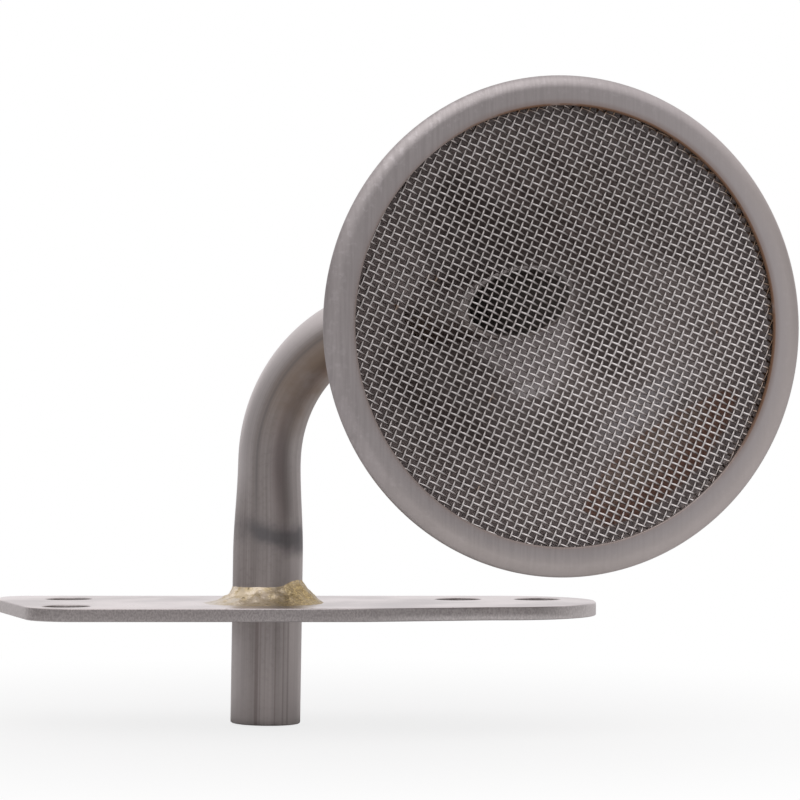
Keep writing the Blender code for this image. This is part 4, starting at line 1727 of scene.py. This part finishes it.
class PICKUP_OT_bolt_plate(bpy.types.Operator):
    """The stamped plate with its four bolt holes"""

    bl_idname = "pickup.bolt_plate"
    bl_label = "Bolt Plate"

    def execute(self, context):
        settings = context.scene.oil_pickup
        bm = plate_mesh(settings.plate, settings.tube.diameter / 2 + TUBE_CLEARANCE)
        mesh = mesh_from("stamped_plate", bm, rolled_steel(settings.plate))
        dress(placed("stamped_plate", mesh), "mounting_plate")
        return {"FINISHED"}


class PICKUP_OT_plate_braze(bpy.types.Operator):
    """The uneven brazing round the tube on top of the plate"""

    bl_idname = "pickup.plate_braze"
    bl_label = "Plate Brazing"

    def execute(self, context):
        settings = context.scene.oil_pickup
        route = TubeRoute(settings.tube)
        along = settings.plate.thickness
        sections = [
            plate_braze_section(route, settings.braze, along, angle) for angle in turns(PLATE_BRAZE_SIDES)
        ]
        finish = brazing_metal("plate_brazing_metal", settings.braze, *PLATE_BRAZE_ENDS)
        braze_piece("plate_brazing", "plate_braze", sections, finish)
        return {"FINISHED"}


class PICKUP_OT_strainer_bell(bpy.types.Operator):
    """The pressed dome with its rim folded over the screen"""

    bl_idname = "pickup.strainer_bell"
    bl_label = "Strainer Bell"

    def execute(self, context):
        settings = context.scene.oil_pickup
        route = TubeRoute(settings.tube)
        place = strainer_place(route, settings.bell)
        bm = bell_mesh(BellProfile(settings.bell), settings.bell.sides)
        bm.transform(place)
        shell = piece_from("bell_before_hole", bm, pressed_steel(settings.bell, place.translation))
        space = self.tube_space(route)
        cut = shell.modifiers.new("tube_hole", "BOOLEAN")
        cut.operation = "DIFFERENCE"
        cut.solver = "EXACT"
        cut.object = space
        bell = baked(shell, "pressed_bell")
        bpy.data.objects.remove(space, do_unlink=True)
        dress(bell, "strainer_bell")
        return {"FINISHED"}

    def tube_space(self, route):
        """The solid that the tube takes up where it passes through the dome."""
        start = route.bend_end - CUTTER_OVERRUN
        run = route.length + CUTTER_OVERRUN - start
        rings = [route.ring(start + run * i / CUTTER_STEPS, BELL_CLEARANCE) for i in range(CUTTER_STEPS + 1)]
        bm = bmesh.new()
        loft(bm, rings)
        return piece_from("tube_space", bm)


class PICKUP_OT_bell_braze(bpy.types.Operator):
    """The brazing round the tube where it enters the dome from behind"""

    bl_idname = "pickup.bell_braze"
    bl_label = "Bell Brazing"

    def execute(self, context):
        settings = context.scene.oil_pickup
        route = TubeRoute(settings.tube)
        place = strainer_place(route, settings.bell)
        profile = BellProfile(settings.bell)
        leg = settings.braze.bell_leg
        sections = [
            bell_braze_section(route, profile, place, leg, angle) for angle in turns(BELL_BRAZE_SIDES)
        ]
        finish = brazing_metal("bell_brazing_metal", settings.braze, *BELL_BRAZE_ENDS)
        braze_piece("bell_brazing", "bell_braze", sections, finish)
        return {"FINISHED"}


class PICKUP_OT_screen_cloth(bpy.types.Operator):
    """The woven wires of both directions, crimped over and under each other"""

    bl_idname = "pickup.screen_cloth"
    bl_label = "Screen Cloth"

    def execute(self, context):
        settings = context.scene.oil_pickup
        cloth, bell = settings.cloth, settings.bell
        place = strainer_place(TubeRoute(settings.tube), bell)
        radius = bell.rim_diameter / 2 - cloth.edge_inset
        shallow_count = 2 * math.floor(radius / cloth.shallow_pitch) + 1
        steep_count = 2 * math.floor(radius / cloth.steep_pitch) + 1
        shared = {
            "Wire": cloth.wire,
            "Disc Radius": radius,
            "Drift": cloth.drift,
            "Turn": cloth.turn,
            "Finish": wire_steel(cloth, place.translation, bell.turn),
        }
        shallow = {
            "Count": shallow_count,
            "Pitch": cloth.shallow_pitch,
            "Cross Count": steep_count,
            "Cross Pitch": cloth.steep_pitch,
            "Crimp": cloth.wire * cloth.shallow_share,
            "Lee": cloth.lee,
            "Along": (1.0, 0.0, 0.0),
            "Across": (0.0, 1.0, 0.0),
        }
        steep = {
            "Count": steep_count,
            "Pitch": cloth.steep_pitch,
            "Cross Count": shallow_count,
            "Cross Pitch": cloth.shallow_pitch,
            "Crimp": cloth.wire * (cloth.shallow_share - 1),
            "Lee": math.pi + cloth.lee,
            "Along": (0.0, 1.0, 0.0),
            "Across": (1.0, 0.0, 0.0),
        }
        tree = wire_tree()
        in_fold = place @ Matrix.Translation((0, 0, -bell.rim_depth / 2))
        weave("shallow_wires", tree, shared | shallow, in_fold)
        weave("steep_wires", tree, shared | steep, in_fold)
        return {"FINISHED"}


# The stage

FLOOR_HALF_WIDTH = 6
FLOOR_GAP = 0.0002
LAMP_WIDTH = 0.8
LAMP_PLACE = Vector((0.03, -0.45, 0.80))
LAMP_AIM = Vector((0.04, 0, 0.05))
ROOM_COLOUR = (1.0, 0.965, 0.975)
SENSOR_WIDTH = 36


class PICKUP_OT_stage(bpy.types.Operator):
    """The pale floor, the soft lamp overhead, the surroundings and the camera"""

    bl_idname = "pickup.stage"
    bl_label = "Stage"

    def execute(self, context):
        scene = context.scene
        sizes = scene.oil_pickup.stage
        scene.view_settings.view_transform = "Standard"
        self.lay_floor(sizes)
        self.light_surroundings(scene, sizes)
        self.hang_lamp(sizes)
        self.set_camera(scene, sizes)
        return {"FINISHED"}

    def lay_floor(self, sizes):
        bm = bmesh.new()
        bmesh.ops.create_grid(bm, x_segments=1, y_segments=1, size=FLOOR_HALF_WIDTH)
        bmesh.ops.translate(bm, verts=bm.verts, vec=(0, 0, CAD_BOX[0][2] - FLOOR_GAP))
        mesh = mesh_from("studio_floor", bm, floor_finish(sizes.floor_colour))
        placed("studio_floor", mesh)

    def light_surroundings(self, scene, sizes):
        """White to the camera, and a soft room round the object for light and gloss."""
        world = bpy.data.worlds.new("studio")
        scene.world = world
        world.use_nodes = True
        world.node_tree.nodes.clear()
        nodes = NodeMaker(world.node_tree)
        side, back, up = nodes.parts(nodes.place("Generated"))
        above_horizon = nodes.span(up, -0.03, 0.10)
        strength = nodes.plus(
            nodes.span(side, 0.25, 0.85, 0.0, sizes.right_light),
            sizes.front_light,
            nodes.span(side, -0.35, -0.95, 0.0, sizes.left_light),
            nodes.span(up, 0.15, 0.85, 0.0, sizes.top_light),
            nodes.times(nodes.span(back, 0.35, 0.95, 0.0, sizes.back_light), above_horizon),
        )
        capped = nodes.math("MINIMUM", strength, 1.0)
        room = nodes.add("ShaderNodeBackground", {"Color": ROOM_COLOUR, "Strength": capped})
        white = nodes.add("ShaderNodeBackground", {"Color": (1, 1, 1)})
        surface = nodes.blend(nodes.camera_sees(), room.outputs[0], white.outputs[0])
        nodes.add("ShaderNodeOutputWorld", {"Surface": surface})

    def hang_lamp(self, sizes):
        lamp = bpy.data.lights.new("soft_lamp", "AREA")
        lamp.shape = "SQUARE"
        lamp.size = LAMP_WIDTH
        lamp.energy = sizes.top_power
        hung = placed("soft_lamp", lamp)
        hung.location = LAMP_PLACE
        hung.rotation_euler = (LAMP_AIM - LAMP_PLACE).to_track_quat("-Z", "Y").to_euler()

    def set_camera(self, scene, sizes):
        camera = bpy.data.cameras.new("camera")
        camera.lens = sizes.lens
        camera.sensor_width = SENSOR_WIDTH
        camera.clip_start = 0.01
        scene.camera = placed("camera", camera)
        scene.camera.location = (sizes.camera_side, -sizes.camera_distance, sizes.camera_height)
        scene.camera.rotation_euler = (QUARTER, 0, 0)


OPERATORS = (
    PICKUP_OT_suction_tube,
    PICKUP_OT_bolt_plate,
    PICKUP_OT_plate_braze,
    PICKUP_OT_strainer_bell,
    PICKUP_OT_bell_braze,
    PICKUP_OT_screen_cloth,
    PICKUP_OT_stage,
)
SETTINGS = ("tube", "plate", "bell", "cloth", "braze", "stage")


class PICKUP_PT_panel(bpy.types.Panel):
    """Makes the pickup's pieces and holds their sizes"""

    bl_idname = "PICKUP_PT_panel"
    bl_label = "Oil Pickup"
    bl_space_type = "VIEW_3D"
    bl_region_type = "UI"
    bl_category = "Oil Pickup"

    def draw(self, context):
        for operator in OPERATORS:
            self.layout.operator(operator.bl_idname)
        for label in SETTINGS:
            group = getattr(context.scene.oil_pickup, label)
            box = self.layout.box()
            for name in group.bl_rna.properties.keys():
                if name not in ("rna_type", "name"):
                    box.prop(group, name)


CLASSES = (
    TubeSettings,
    PlateSettings,
    BellSettings,
    ClothSettings,
    BrazeSettings,
    StageSettings,
    PickupSettings,
    *OPERATORS,
    PICKUP_PT_panel,
)


def register():
    for cls in CLASSES:
        bpy.utils.register_class(cls)
    bpy.types.Scene.oil_pickup = PointerProperty(type=PickupSettings)


def unregister():
    del bpy.types.Scene.oil_pickup
    for cls in reversed(CLASSES):
        bpy.utils.unregister_class(cls)


def main():
    register()
    bpy.ops.pickup.suction_tube()
    bpy.ops.pickup.bolt_plate()
    bpy.ops.pickup.plate_braze()
    bpy.ops.pickup.strainer_bell()
    bpy.ops.pickup.bell_braze()
    bpy.ops.pickup.screen_cloth()
    bpy.ops.pickup.stage()


if __name__ == "__main__":
    main()
